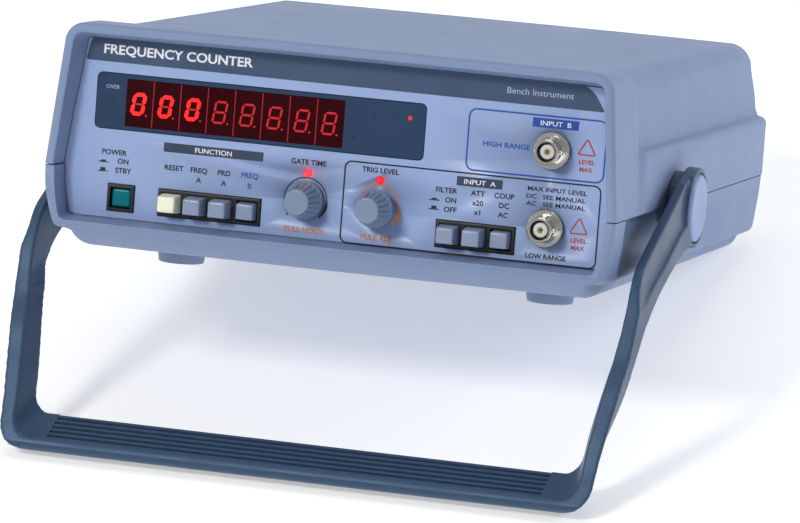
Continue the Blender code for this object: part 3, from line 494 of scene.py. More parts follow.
def lower_inner(y, gap=0.0):
    rec = 4.6 * smooth01((y - 16.0) / 5.0) * (1 - smooth01((y - 126.0) / 12.0))
    pts = [(HALF_W - 2.7, PART_Z - 0.3), (HALF_W - 3.1, 24.0), (110.4, 16.2), (108.6, 12.4),
           (107.2, 10.8), (105.2, 10.2), (103.4, 9.6), (102.6, 7.6), (102.0, 5.9),
           (100.9, 4.3), (99.0, 3.2), (95.5, 2.7), (20.0, 2.7)]
    floor = max(2.7, skirt_z(y) + 2.5)
    out = []
    for x, z in pts:
        if x > 105.5:
            x -= rec * smooth01((z - 8.0) / 9.0)
        if z < 9.0:
            z = floor + (z - 2.7) * (9.6 - floor) / 6.9
        out.append((x - gap * (1 if x > 90 else 0), z + gap * (1 if z < 14 else 0)))
    return round_corners(out, LOWER_SPEC, 3)


def lower_lip(y):
    w = y / LIP_END
    dx, dz = -0.5 * w, 1.1 * w
    pts = [(110.7, PART_Z - 0.3), (110.4, 26.0), (109.6, 20.0), (108.6, 15.6), (108.2, 13.4),
           (107.4, 11.8), (105.6, SILL_Z), (98.0, SILL_Z), (90.0, SILL_Z), (75.0, SILL_Z),
           (60.0, SILL_Z), (40.0, SILL_Z), (20.0, SILL_Z)]
    out = [(x + (dx if x > 105 else 0), z + (dz if z < 12.5 else 0)) for x, z in pts]
    return out if y < 0 else round_corners(out, LOWER_SPEC, 3)


def quarter(y, y1, d):
    """Inset of an edge rounded over depth y1 by distance d."""
    t = (y1 - y) / y1
    return d * (1 - math.sqrt(max(0.0, 1 - t * t))) if t > 0 else 0.0


def rear_inset(y):
    t = (y - (CASE_D - 4.0)) / 4.0
    return 4.0 * (1 - math.sqrt(max(0.0, 1 - min(1, max(0, t)) ** 2))) if t > 0 else 0.0


def lip_offset(y):
    w = y / LIP_END
    k = 0.5 * quarter(y, 0.5, 1.0)
    return lambda x, z: 3.7 - k + w * (0.7 + 1.6 * smooth01((z - 40.0) / 42.0))


def ring(outer, inner, y):
    left = [(-x, y, z) for x, z in outer]
    right = [(x, y, z) for x, z in reversed(outer)]
    iright = [(x, y, z) for x, z in inner]
    ileft = [(-x, y, z) for x, z in reversed(inner)]
    return left + right + iright + ileft


FRONT = [0.0, 0.06, 0.22, 0.5, 0.9, 1.4, 1.8, 3.2, 4.8, 6.4, 8.0, 9.7, LIP_END]
BACK = [251.5, 252.4, 253.2, 253.9, 254.5, 254.9, 255.2, 255.4, CASE_D]
rings = []
for y in FRONT:
    o = inset(upper_outline(y), quarter(y, 1.8, 1.7))
    o[0] = (upper_outline(y)[0][0] - quarter(y, 1.8, 1.7), o[0][1])
    rings.append(ring(o, inset(upper_outline(y), lip_offset(y)), y))
for y in [LIP_END + 0.01, 14.0, 20.0, 26.0, 32.0] + [BLOCK_D + 0.7 * k for k in range(11)] + [48.0, 60.0, 90.0, 130.0, 190.0]:
    rings.append(ring(upper_outline(y), upper_inner(y), y))
for y in BACK:
    rings.append(ring(inset(upper_outline(y), rear_inset(y)), upper_inner(y, 2.0 if y > 252 else 0.0), y))
upper = loft("upper_shell_skin", rings, CASE, 34)

rings = []
for y in FRONT:
    o = inset(lower_outline(y), quarter(y, 1.8, 1.7))
    rings.append(ring(o, lower_lip(y), y))
for y in [LIP_END + 0.01, 12.5, 13.7, 15.0, 16.0, 17.0, 18.0, 19.0, 20.0, 21.0, 40.0, 70.0, 110.0, 126.0, 128.4, 130.8, 133.2, 135.6, 138.0, 190.0]:
    rings.append(ring(lower_outline(y), lower_inner(y), y))
for y in BACK:
    o = inset(lower_outline(y), lambda x, z, y=y: rear_inset(y) * (0.6 if x > 100.0 and z < 13.0 else 1.0))
    rings.append(ring(o, lower_inner(y, 2.0 if y > 252 else 0.0), y))
lower = loft("lower_shell_skin", rings, CASE, 34)

for ob in (upper, lower):
    cut(ob, [put("t", turned_bm([(0, s * 104), (7.3, s * 104), (7.3, s * 120), (0, s * 120)], (HUB_Y, HUB_Z), 48, 'x'), None, 0)
             for s in (-1, 1)])
tl = []
for sx, sy in ((-86.0, 46.0), (86.0, 46.0), (-86.0, 232.0), (86.0, 232.0)):
    tl.append(put("t", turned_bm([(0, -5), (3.8, -5), (3.8, 5), (0, 5)], (sx, sy), 32, 'z'), None, 0))
cut(lower, tl)
for ob in (upper, lower):
    ob.data.shade_smooth()
    ob.data.set_sharp_from_angle(angle=math.radians(34))
    vs = ob.data.vertices
    back = max(v.co.y for v in vs)
    for f in ob.data.polygons:      # the flat end face at the back keeps its own normal
        if all(back - vs[i].co.y < 1e-3 * back for i in f.vertices):
            f.use_smooth = False
done(upper, "case_body", "upper_shell")
done(lower, "case_body", "lower_shell")

# ---------------------------------------------------------------- panel and overlay
def panel_outline(up, low):
    u = inset(upper_outline(8.0), up)
    l = [(x - low, z + (low if z < 12.5 else 0)) for x, z in lower_lip(LIP_END)]
    right = u[::-1] + l
    return right + [(-x, z) for x, z in reversed(right)]


def plate(name, outline, y0, y1, mat, smooth=30):
    return loft(name, [[(x, y0, z) for x, z in outline], [(x, y1, z) for x, z in outline]], mat, smooth)


panel = plate("front_panel_skin", panel_outline(3.1, -0.6), PANEL_Y, PANEL_Y + PANEL_T, PANEL_GLINT)
film = plate("front_overlay_film", panel_outline(lambda x, z: 4.9 + 1.6 * smooth01((z - 40.0) / 42.0), 0.5),
             OVERLAY_Y, OVERLAY_Y + OVERLAY_T, OVERLAY)


def holes():
    ts = [loft("t", [[(x, y, z) for x, z in rounded_rect(WIN[0] - .3, WIN[1] + .3, WIN[2] - .3, WIN[3] + .3, 2.3, 8)]
                     for y in (5.0, 20.0)], None, 0)]
    for cx, count, cz in BANKS.values():
        hw = (PITCH * count + 0.5) / 2
        ts.append(box("t", cx - hw - .3, cx + hw + .3, 5, 20, cz - FRAME_H / 2 - .3, cz + FRAME_H / 2 + .3))
    for c, dy in KNOBS.values():
        ts.append(turned("t", [(0, 5), (4.9, 5), (4.9, 20), (0, 20)], c, None, 40))
    for c in LEDS.values():
        ts.append(turned("t", [(0, 5), (1.75, 5), (1.75, 20), (0, 20)], c, None, 24))
    for c in BNC.values():
        ts.append(turned("t", [(0, 5), (5.1, 5), (5.1, 20), (0, 20)], c, None, 40))
    return ts


cut(panel, holes())
cut(film, holes())
done(panel, "case_body", "front_panel")
done(film, "case_body", "front_overlay")

win = loft("display_window_pane",
           [[(x, y, z) for x, z in rounded_rect(WIN[0] + e, WIN[1] - e, WIN[2] + e, WIN[3] - e, 2.0 - e, 8)]
            for y, e in ((OVERLAY_Y + 0.2, 0.12), (OVERLAY_Y + 0.32, 0.0), (OVERLAY_Y + 1.7, 0.0))], WINDOW, 30)
done(win, "case_body", "display_window")

# ---------------------------------------------------------------- printed legends: thin inked films on the overlay
INK_Y = 10.955           # printed film, 0.03 mm thick, just clear of the overlay


def flat(bm, pts, y0=INK_Y, t=0.03):
    """Thin closed plate with outline pts (x, z), front face at y0."""
    a = [bm.verts.new((x, y0, z)) for x, z in pts]
    b = [bm.verts.new((x, y0 + t, z)) for x, z in pts]
    n = len(pts)
    bm.faces.new(a)
    bm.faces.new(b[::-1])
    for i in range(n):
        j = (i + 1) % n
        bm.faces.new((a[i], b[i], b[j], a[j]))


def loop_line(bm, pts, w, y0=INK_Y, t=0.03, closed=True):
    """Thin line of width w along pts (x, z), mitred."""
    n = len(pts)
    inn, out = [], []
    for i in range(n):
        a = pts[i - 1] if (closed or i) else pts[0]
        b = pts[(i + 1) % n] if (closed or i < n - 1) else pts[-1]
        tx, tz = b[0] - a[0], b[1] - a[1]
        l = math.hypot(tx, tz) or 1
        ww = w(i / (n - 1)) if callable(w) else w
        nx, nz = tz / l * ww / 2, -tx / l * ww / 2
        inn.append((pts[i][0] + nx, pts[i][1] + nz))
        out.append((pts[i][0] - nx, pts[i][1] - nz))
    vs = [[bm.verts.new((x, y, z)) for x, z in p] for p, y in ((inn, y0), (out, y0), (out, y0 + t), (inn, y0 + t))]
    m = n if closed else n - 1
    for i in range(m):
        j = (i + 1) % n
        for q in range(4):
            a, b = vs[q], vs[(q + 1) % 4]
            bm.faces.new((a[i], a[j], b[j], b[i]))
    if not closed:
        bm.faces.new([vs[q][0] for q in range(4)])
        bm.faces.new([vs[q][-1] for q in (3, 2, 1, 0)])


def text_bm(bm, s, x, z, cap, align='CENTER', stretch=1.0, bold=0.0, y0=INK_Y, t=0.03, shear=0.0):
    """Letters with capital height cap, baseline centred so that z is their middle."""
    cu = bpy.data.curves.new("txt", 'FONT')
    cu.body = s
    cu.size = cap / 0.729
    cu.align_x = align
    cu.extrude = t / 2
    cu.offset = bold
    cu.shear = shear
    cu.resolution_u = 3
    ob = bpy.data.objects.new("txt", cu)
    bpy.context.scene.collection.objects.link(ob)
    deps = bpy.context.evaluated_depsgraph_get()
    deps.update()
    me = bpy.data.meshes.new_from_object(ob.evaluated_get(deps))
    bpy.data.objects.remove(ob)
    tmp = bmesh.new()
    tmp.from_mesh(me)
    bpy.data.meshes.remove(me)
    bmesh.ops.remove_doubles(tmp, verts=tmp.verts, dist=1e-4)
    vm = {}
    for v in tmp.verts:
        vm[v] = bm.verts.new((x + v.co.x * stretch, y0 + t / 2 - v.co.z, z + v.co.y - cap / 2))
    for f in tmp.faces:
        try:
            bm.faces.new([vm[v] for v in f.verts])
        except ValueError:
            pass
    tmp.free()


def legend(name, mat, build, y0=None):
    bm = bmesh.new()
    build(bm)
    ob = put(name, bm, mat, 0)
    done(ob, "case_body", slot="overlay")
    return ob


def band(bm):
    pts = []
    c = [(-102.3, 82.9, 3.0), (-104.3, 73.3, 0.8), (104.6, 72.6, 0.8), (98.4, 82.9, 7.0)]
    n = len(c)
    for i, (x, z, r) in enumerate(c):
        a, b = c[i - 1], c[(i + 1) % n]
        la, lb = math.dist(a[:2], (x, z)), math.dist(b[:2], (x, z))
        p0 = (x + (a[0] - x) * r / la, z + (a[1] - z) * r / la)
        p1 = (x + (b[0] - x) * r / lb, z + (b[1] - z) * r / lb)
        for k in range(9):
            t = k / 8
            pts.append(((1 - t) ** 2 * p0[0] + 2 * t * (1 - t) * x + t * t * p1[0],
                        (1 - t) ** 2 * p0[1] + 2 * t * (1 - t) * z + t * t * p1[1]))
    flat(bm, pts)


legend("title_band_print", NAVY, band)


def titles(bm):
    text_bm(bm, "FREQUENCY COUNTER", -97.5, 78.3, 3.7, 'LEFT', 1.12, 0.12, y0=INK_Y - 0.05)


def subtitle(bm):
    text_bm(bm, "Bench Instrument", 92.1, 77.7, 2.5, 'RIGHT', 1.08, 0.0, y0=INK_Y - 0.05)


legend("title_print", WHITE, titles)
legend("subtitle_print", PALE, subtitle)


def bars(bm):
    flat(bm, rounded_rect(-70.1, -29.5, 40.4, 44.0, 0.15, 1))
    flat(bm, rounded_rect(48.5, 66.7, 39.2, 42.8, 0.15, 1))


legend("dark_bar_print", DARKINK, bars)
legend("blue_bar_print", BLUEINK, lambda bm: flat(bm, rounded_rect(76.7, 94.9, 64.6, 68.2, 0.15, 1)))


def bar_text(bm):
    y = INK_Y - 0.05
    text_bm(bm, "FUNCTION", -49.8, 42.2, 1.9, stretch=1.15, bold=0.03, y0=y)
    text_bm(bm, "INPUT  A", 57.6, 41.0, 1.9, stretch=1.2, bold=0.03, y0=y)
    text_bm(bm, "INPUT  B", 85.8, 66.4, 1.9, stretch=1.2, bold=0.03, y0=y)


legend("bar_text_print", WHITE, bar_text)
legend("window_text_print", PALE, lambda bm: text_bm(bm, "OVER", -92.6, 63.7, 1.6, bold=0.0, y0=11.12, stretch=1.0))


def push_icon(bm, x, z, up):
    """Small pictogram of a button that is out or in: a base line with a cap on or through it."""
    flat(bm, [(x - 2.0, z - 0.9), (x + 2.0, z - 0.9), (x + 2.0, z - 0.5), (x - 2.0, z - 0.5)])
    h = 0.5 if not up else 1.1
    flat(bm, [(x - 1.0, z - 0.45), (x + 1.0, z - 0.45), (x + 1.0, z - 0.45 + h), (x - 1.0, z - 0.45 + h)])


def black_text(bm):
    T = lambda s, x, z, cap=2.05, **k: text_bm(bm, s, x, z, cap, stretch=1.04, bold=0.07, **k)
    T("POWER", -90.2, 38.2)
    T("ON", -86.3, 34.9)
    T("STBY", -86.1, 31.3)
    push_icon(bm, -94.4, 34.8, False)
    push_icon(bm, -94.4, 31.2, True)
    T("RESET", -65.4, 34.5)
    T("FREQ", -55.2, 34.5)
    T("A", -55.0, 30.7)
    T("PRD", -44.9, 34.5)
    T("A", -44.8, 30.5)
    T("GATE TIME", -11.1, 42.1)
    T("TRIG LEVEL", 17.9, 41.8)
    T("FILTER", 44.6, 36.9)
    T("ATT", 57.3, 36.9)
    T("COUP", 67.7, 36.9)
    T("ON", 46.7, 33.2)
    T("OFF", 46.7, 29.6)
    T("x20", 57.5, 33.2)
    T("x1", 57.8, 29.6)
    T("DC", 67.9, 33.2)
    T("AC", 67.8, 29.6)
    push_icon(bm, 40.2, 33.4, False)
    push_icon(bm, 40.2, 29.8, True)
    for s, x, z in (("MAX INPUT LEVEL", 88.4, 41.0), ("DC   SEE MANUAL", 88.0, 38.1), ("AC   SEE MANUAL", 88.2, 35.3)):
        text_bm(bm, s, x, z, 1.7, stretch=1.24, bold=0.05)
    T("LOW RANGE", 85.7, 15.3, 1.9)


def blue_text(bm):
    text_bm(bm, "FREQ", -34.5, 34.5, 2.05, stretch=1.04, bold=0.06)
    text_bm(bm, "B", -34.3, 30.5, 2.05, stretch=1.04, bold=0.06)
    text_bm(bm, "HIGH RANGE", 67.0, 56.4, 2.0, stretch=1.15, bold=0.06)
    loop_line(bm, rounded_rect(51.6, 106.0, 45.6, 69.2, 3.0, 8), 0.62)


def orange_text(bm):
    text_bm(bm, "PULL HOLD", -11.3, 15.8, 2.0, stretch=1.1, bold=0.07)
    text_bm(bm, "PULL ADJ", 18.0, 15.7, 2.0, stretch=1.1, bold=0.07)


def red_text(bm):
    for ax, az, tz in ((98.8, 61.8, 53.0), (98.0, 31.5, 22.8)):
        tri = [(ax, az), (ax + 3.5, az - 6.1), (ax - 3.5, az - 6.1)]
        pts = []
        for i in range(3):
            a, p, b = tri[i - 1], tri[i], tri[(i + 1) % 3]
            for t in (0, .25, .5, .75, 1):
                d = 0.9
                p0 = (p[0] + (a[0] - p[0]) * d / 7, p[1] + (a[1] - p[1]) * d / 7)
                p1 = (p[0] + (b[0] - p[0]) * d / 7, p[1] + (b[1] - p[1]) * d / 7)
                pts.append(((1 - t) ** 2 * p0[0] + 2 * t * (1 - t) * p[0] + t * t * p1[0],
                            (1 - t) ** 2 * p0[1] + 2 * t * (1 - t) * p[1] + t * t * p1[1]))
        loop_line(bm, pts, 0.58)
        text_bm(bm, "LEVEL", ax + .2, tz, 1.7, stretch=1.05, bold=0.07)
        text_bm(bm, "MAX", ax, tz - 2.9, 1.7, stretch=1.05, bold=0.07)


def arc_pts(c, r, a0, a1, n=40):
    return [(c[0] + r * math.cos(math.radians(a0 + (a1 - a0) * i / n)),
             c[1] + r * math.sin(math.radians(a0 + (a1 - a0) * i / n))) for i in range(n + 1)]


def arc_mark(bm, c):
    wid = lambda t: 0.42 + (1.05 * max(0.0, (t - 0.80) / 0.08) if t < 0.88 else 1.05 * (1 - (t - 0.88) / 0.12 * 0.75))
    loop_line(bm, arc_pts(c, 8.6, 215, -48, 72), wid, closed=False)


def black_lines(bm):
    loop_line(bm, rounded_rect(3.7, 105.5, 12.6, 44.2, 2.6, 8), 0.6)
    for x0, x1 in ((-70.0, -64.0), (-35.0, -29.6)):
        pass
    arc_mark(bm, KNOBS["gate"][0])
    loop_line(bm, arc_pts((-18.2, 21.3), 0.35, 0, 350, 8), 0.3)


legend("black_text_print", INK, black_text)
legend("black_line_print", INK, black_lines)
legend("blue_text_print", BLUEINK, blue_text)
legend("orange_text_print", ORANGE, lambda bm: (orange_text(bm), arc_mark(bm, KNOBS["trigger"][0])))
legend("red_text_print", REDINK, red_text)

# ---------------------------------------------------------------- display: masked cells and seven-segment digits
SEG_Y = 11.16
CX0, CX1, CZ0, CZ1 = -86.9, 1.8, 48.7, 67.3
CW = (CX1 - CX0) / 8


def seg_shapes(cx, cz, h, w, st, slant, gap=0.18):
    """Outlines of the seven segments a..g of a slanted digit."""
    def hseg(z):
        return [(-w / 2 + st / 2 + gap, z), (-w / 2 + st + gap, z + st / 2), (w / 2 - st - gap, z + st / 2),
                (w / 2 - st / 2 - gap, z), (w / 2 - st - gap, z - st / 2), (-w / 2 + st + gap, z - st / 2)]

    def vseg(x, z0, z1):
        return [(x, z0 + gap), (x + st / 2, z0 + st / 2 + gap), (x + st / 2, z1 - st / 2 - gap), (x, z1 - gap),
                (x - st / 2, z1 - st / 2 - gap), (x - st / 2, z0 + st / 2 + gap)]
    t, xr = h / 2 - st / 2, w / 2 - st / 2
    raw = {"a": hseg(t), "g": hseg(0), "d": hseg(-t), "f": vseg(-xr, 0, t), "b": vseg(xr, 0, t),
           "e": vseg(-xr, -t, 0), "c": vseg(xr, -t, 0)}
    return {k: [(cx + x + slant * z, cz + z) for x, z in v] for k, v in raw.items()}


cells, lines, lit, dim = bmesh.new(), bmesh.new(), bmesh.new(), bmesh.new()
flat(cells, rounded_rect(CX0, CX1, CZ0, CZ1, 0.3, 2), SEG_Y + 0.01, 0.03)
for k in range(1, 8):
    x = CX0 + k * CW
    flat(lines, [(x - .22, CZ0 + .4), (x + .22, CZ0 + .4), (x + .22, CZ1 - .4), (x - .22, CZ1 - .4)], SEG_Y - 0.04, 0.03)
for k in range(8):
    cx, cz = CX0 + (k + 0.47) * CW, (CZ0 + CZ1) / 2 - 0.25
    bright = k < 3
    shapes = seg_shapes(cx, cz, 9.0, 5.7 if bright else 5.4, 1.5 if bright else 0.85, 0.15, 0.05 if bright else 0.2)
    for s, pts in shapes.items():
        on = bright and s != "g"
        if bright and s == "g":
            pts = seg_shapes(cx, cz, 9.0, 5.2, 0.7, 0.15, 0.3)["g"]
        flat(lit if on else dim, pts, SEG_Y - 0.04, 0.03)
    dx, dz = cx + 3.3, cz - 4.2
    flat(dim, arc_pts((dx, dz), 0.42, 0, 330, 11), SEG_Y - 0.04, 0.03)
for nm, b, mt in (("digit_cells", cells, CELL), ("digit_dividers", lines, CELLLINE), ("digit_segments_lit", lit, LIT),
                  ("digit_segments_dim", dim, DIM)):
    done(put(nm, b, mt, 0), "case_body", slot="window")
dots_off, dots_on = bmesh.new(), bmesh.new()
for x, z in ((5.7, 63.0), (13.4, 63.3), (21.0, 63.4), (6.0, 53.5), (13.1, 52.5)):
    flat(dots_off, arc_pts((x, z), 0.7, 0, 340, 17), SEG_Y - 0.04, 0.03)
flat(dots_off, arc_pts((-92.5, 58.5), 1.05, 0, 340, 17), SEG_Y - 0.04, 0.03)
flat(dots_on, arc_pts((28.1, 63.0), 0.75, 0, 340, 17), SEG_Y - 0.04, 0.03)
done(put("unit_dots_dark", dots_off, DARKDOT, 0), "case_body", slot="window")
done(put("unit_dot_lit", dots_on, LIT, 0), "case_body", slot="window")

# ---------------------------------------------------------------- LEDs
for n, c in LEDS.items():
    r = 1.5
    prof = [(0, 9.6)] + [(r * math.sin(math.radians(a)), 11.1 - 1.5 * math.cos(math.radians(a))) for a in range(10, 91, 10)]
    prof += [(r, 16.0), (r + .4, 16.0), (r + .4, 17.0), (0, 17.0)]
    done(turned(n + "_lens", prof, c, LEDHALO if n == "gate_led" else LEDON, 32), "case_body", n)

# ---------------------------------------------------------------- buttons and their frames
for n, (cx, count, cz) in BANKS.items():
    hw = (PITCH * count + 0.5) / 2
    fr = loft(n + "_button_bezel", [[(x, y, z) for x, z in rounded_rect(cx - hw + e, cx + hw - e, cz - FRAME_H / 2 + e, cz + FRAME_H / 2 - e, .5, 4)]
                                    for y, e in ((10.2, .25), (10.28, .08), (10.45, 0.0), (15.8, 0.0))], BLACK, 30)
    ts = []
    for k in range(count):
        bx = cx + (k - (count - 1) / 2) * PITCH
        ts.append(loft("t", [[(x, y, z) for x, z in rounded_rect(bx - CAP_W / 2 - .35, bx + CAP_W / 2 + .35, cz - CAP_H / 2 - .35,
                                                                 cz + CAP_H / 2 + .35, .6, 4)] for y in (5, 20)], None, 0))
    cut(fr, ts)
    done(fr, "case_body", n + "_button_frame")

FX, IX = -49.95, 57.4
BUTTONS = [("power_button", -86.2, 20.55, TEAL, True), ("reset_button", FX - 1.5 * PITCH, 20.55, CREAM, False),
           ("freq_a_button", FX - 0.5 * PITCH, 20.55, GREY, False), ("period_a_button", FX + 0.5 * PITCH, 20.55, GREY, False),
           ("freq_b_button", FX + 1.5 * PITCH, 20.55, GREY, True), ("lowpass_button", IX - PITCH, 20.0, GREY, False),
           ("attenuator_button", IX, 20.0, GREY, False), ("coupling_button", IX + PITCH, 20.0, GREY, True)]
for name, bx, bz, mat, pressed in BUTTONS:
    power = name == "power_button"
    y0 = (7.7 if power else 3.2) + (3.5 if pressed else 0)
    y1 = 16.2 + (3.5 if pressed else 0)
    hw, hh = CAP_W / 2, CAP_H / 2
    d = 0.3 if power else 0.6
    n = 10
    rings = []
    # crowned face built as shrinking rings, then a rounded edge and the drafted sides
    for f, dy in ((0.08, 0.0), (0.4, 0.02), (0.7, 0.07), (0.88, 0.14)):
        rings.append([(x, y0 + dy, z) for x, z in rounded_rect(bx - (hw - d) * f, bx + (hw - d) * f, bz - (hh - d) * f, bz + (hh - d) * f,
                                                              0.6 * f, 4)])
    for a in (25, 50, 75, 90):
        e = 0.45 * (1 - math.sin(math.radians(a)))
        yy = y0 + 0.2 + 0.45 * (1 - math.cos(math.radians(a)))
        rings.append([(x, yy, z) for x, z in rounded_rect(bx - hw + d + e, bx + hw - d - e, bz - hh + d + e, bz + hh - d - e, 0.6, 4)])
    rings.append([(x, y0 + (1.0 if power else 7.0), z) for x, z in rounded_rect(bx - hw, bx + hw, bz - hh, bz + hh, 0.6, 4)])
    rings.append([(x, y1, z) for x, z in rounded_rect(bx - hw, bx + hw, bz - hh, bz + hh, 0.6, 4)])
    done(loft(name + "_cap", rings, mat, 40), BODY_OF[name], name)

# ---------------------------------------------------------------- knobs
def flute(y_lo, y_hi, count, depth):
    def f(a, r, y):
        if r < 4.95:
            return r
        w = smooth01((y - y_lo) / 0.8) * (1 - smooth01((y - y_hi) / 0.4))
        return r - depth * w * (0.5 + 0.5 * math.cos(a * count)) ** 3
    return f


for n, (c, dy) in KNOBS.items():
    Y0 = -1.7 + dy
    prof = [(0, Y0 + 0.05), (2.2, Y0 + 0.08), (3.6, Y0 + 0.04), (4.2, Y0), (4.6, Y0 + 0.08), (4.85, Y0 + 0.3), (5.0, Y0 + 0.62)]
    for k in range(1, 9):
        prof.append((5.0 + 1.9 * k / 8, Y0 + 0.62 + 8.7 * k / 8))
    prof += [(7.2, Y0 + 9.7), (7.5, Y0 + 10.1), (7.5, Y0 + 11.5), (7.35, Y0 + 11.9), (7.1, 10.4 + dy), (3.35, 10.4 + dy),
             (3.35, dy + 1.6), (0, dy + 1.6)]
    kb = turned(n + "_knob_fluted", prof, c, KNOB, 216, smooth=50, shape=flute(Y0 + 0.7, Y0 + 9.4, 18, 0.5))
    done(kb, BODY_OF[n + "_knob"], n + "_knob")
    # pointer: an inked strip down the flank
    a0 = math.radians(102)
    bm = bmesh.new()
    rows = []
    for t in (0.12, 0.5, 0.9):
        yy = Y0 + 0.62 + 8.7 * t * 0.75
        rr = 5.0 + 1.9 * t * 0.75
        rows.append([Vector((c[0] + (rr + h) * math.cos(a0 + s * 0.45 / rr), yy, c[1] + (rr + h) * math.sin(a0 + s * 0.45 / rr)))
                     for s, h in ((-1, 0.06), (1, 0.06), (1, 0.02), (-1, 0.02))])
    loft_bm(rows, bm)
    done(put(n + "_knob_pointer", bm, REDINK, 0), BODY_OF[n + "_knob"], slot="knob")

# ---------------------------------------------------------------- bayonet connectors
for n, c in BNC.items():
    prof = [(3.95, 1.4), (4.6, 1.4), (4.8, 1.6), (4.8, 2.4), (4.55, 2.9), (4.5, 5.2), (4.5, 8.0), (4.9, 8.3), (5.5, 8.8),
            (7.0, 8.8), (7.2, 9.0), (7.2, 10.35), (7.05, 10.6), (4.8, 10.6), (4.8, 21.0), (3.1, 21.0), (3.1, 8.8), (3.85, 8.4), (3.85, 1.55)]
    sh = turned("bnc_%s_barrel" % n, prof, c, NICKEL, 72, smooth=32)
    ts = []
    for s in (-1, 1):
        q = [(0, 4.2), (0.95, 4.2), (0.95, 5.45), (0.8, 5.6), (0, 5.6)]
        ang = 2
        ts.append(put("t", turned_bm([(r, c[0] + s * x) for r, x in q], (4.6, c[1]), 24, 'x'), None, 0))
    cut(sh, ts, 'UNION')
    sh.data.shade_smooth()
    sh.data.set_sharp_from_angle(angle=math.radians(32))
    done(sh, "case_body", "bnc_%s_shell" % n)
    ins = turned("bnc_%s_dielectric" % n, [(1.15, 2.9), (1.35, 2.7), (2.5, 2.6), (2.75, 2.75), (2.8, 3.0), (2.8, 21.0), (1.15, 21.0)], c, PTFE, 40)
    done(ins, "case_body", "bnc_%s_insulator" % n)
    con = turned("bnc_%s_socket" % n, [(0.5, 3.5), (0.62, 3.35), (0.95, 3.35), (1.05, 3.5), (1.05, 26.0), (0, 26.0), (0, 8.0), (0.5, 8.0)], c, GOLD, 32)
    done(con, "case_body", "bnc_%s_contact" % n)

# ---------------------------------------------------------------- carrying handle
def catmull(path, keep=()):
    """Smooth curve through the points of path; the runs listed in keep stay straight."""
    out = []
    for i in range(len(path) - 1):
        p0, p1, p2, p3 = path[max(0, i - 1)], path[i], path[i + 1], path[min(len(path) - 1, i + 2)]
        steps = 1 if i in keep else 4
        for k in range(steps):
            t = k / steps
            out.append(tuple(0.5 * (2 * p1[d] + (p2[d] - p0[d]) * t + (2 * p0[d] - 5 * p1[d] + 4 * p2[d] - p3[d]) * t * t
                                    + (-p0[d] + 3 * p1[d] - 3 * p2[d] + p3[d]) * t ** 3) for d in (0, 1)))
    out.append(path[-1])
    return out


def side_profile():
    pts = []
    for k in range(41):
        a = math.radians(112 - 227.0 * k / 40)
        pts.append((HUB_Y + HUB_R * math.cos(a), HUB_Z + HUB_R * math.sin(a)))
    rear = [(76.0, 15.2), (65.7, 12.0), (55.9, 8.8), (46.8, 5.1), (37.7, 0.9), (30.5, -3.4), (24.4, -8.2), (19.0, -13.6),
            (13.5, -20.8), (9.2, -29.0), (4.6, -40.0), (-0.9, -54.0), (-4.1, -62.0), (-6.4, -68.0), (-8.2, -74.6),
            (-10.0, -77.2)]
    grip = [(-12.5, -77.5), (-20.6, -77.5), (-22.6, -76.2), (-22.9, -74.5)]
    front = [(-17.6, -62.0), (-12.9, -50.0), (-8.6, -40.0), (-4.4, -30.0), (0.8, -20.5), (3.4, -14.0), (5.9, -7.0),
             (8.7, 0.0), (11.0, 5.0), (13.4, 9.5), (17.0, 13.4), (22.0, 16.4), (30.0, 20.2), (43.0, 26.2), (55.0, 31.8),
             (66.0, 37.2), (76.0, 42.2)]
    return pts + catmull(rear) + grip + catmull(front)


def arm_x(z):
    return float(np.interp(-z, [-60.0, 0.0, 20.0, 40.0, 57.0, 78.0], [125.2, 125.2, 124.2, 121.8, 119.8, 118.2]))


G = 0.25      # margin for cutting the solid a little small, because smoothing rounds its edges in place; it is not used
prof = side_profile()
handle = loft("carrying_handle", [[(x, y, z) for y, z in prof] for x in (-130.0, 130.0)], HANDLE, 25)
outer = [(arm_x(z), z) for z in [60.0, 20.0, 4.0] + [-3.0 * k for k in range(22)]]
cxr, rr_ = arm_x(-66.0) - 11.5, 11.5
for k in range(0, 19):
    a = math.radians(5.0 * k)
    outer.append((cxr + rr_ * math.cos(a), -66.0 - rr_ * math.sin(a) - 0.02))
u_outer = outer + [(-x, z) for x, z in reversed(outer)]


def arm_draft(x, y, z):
    """The lower part of each arm narrows behind its front edge."""
    zf = [-74.5, -62.0, -50.0, -40.0, -30.0, -20.5, 0.0]
    yf = float(np.interp(z, zf, [-22.9, -17.6, -12.9, -8.6, -4.4, 0.8, 8.7]))
    d = 0.3 * smooth01((-z - 28.0) / 36.0) * (max(-24.0, min(24.0, y)) - yf)
    return x - d if x > 0 else x + d


ot = loft("t", [[(arm_draft(x, y, z), y, z) for x, z in u_outer]
                for y in (-60.0, -24.0, -18.0, -12.0, -6.0, 0.0, 6.0, 12.0, 24.0, 130.0)], None, 0)
cut(handle, [ot], 'INTERSECT')
inner_rings = []
RI = 6.5
levels = []
for k in range(10):
    a = math.radians(90 - 10 * k)
    levels.append((-65.7 - RI * math.sin(a), 1.0, RI * (1 - math.cos(a))))
levels += [(-65.7, 1.0, 0.0), (-58.0, 0.82, 0.0), (-50.0, 0.62, 0.0), (-42.0, 0.45, 0.0), (-35.0, 0.3, 0.0), (-27.0, 0.15, 0.0),
           (-20.0, 0.0, 0.0), (-18.0, 0.0, 0.0), (-16.0, 0.0, 0.0), (-14.0, 0.0, 0.0), (-12.0, 0.0, 0.0), (-10.0, 0.0, 0.0),
           (-8.0, 0.0, 0.0), (0.0, 0.0, 0.0), (70.0, 0.0, 0.0)]
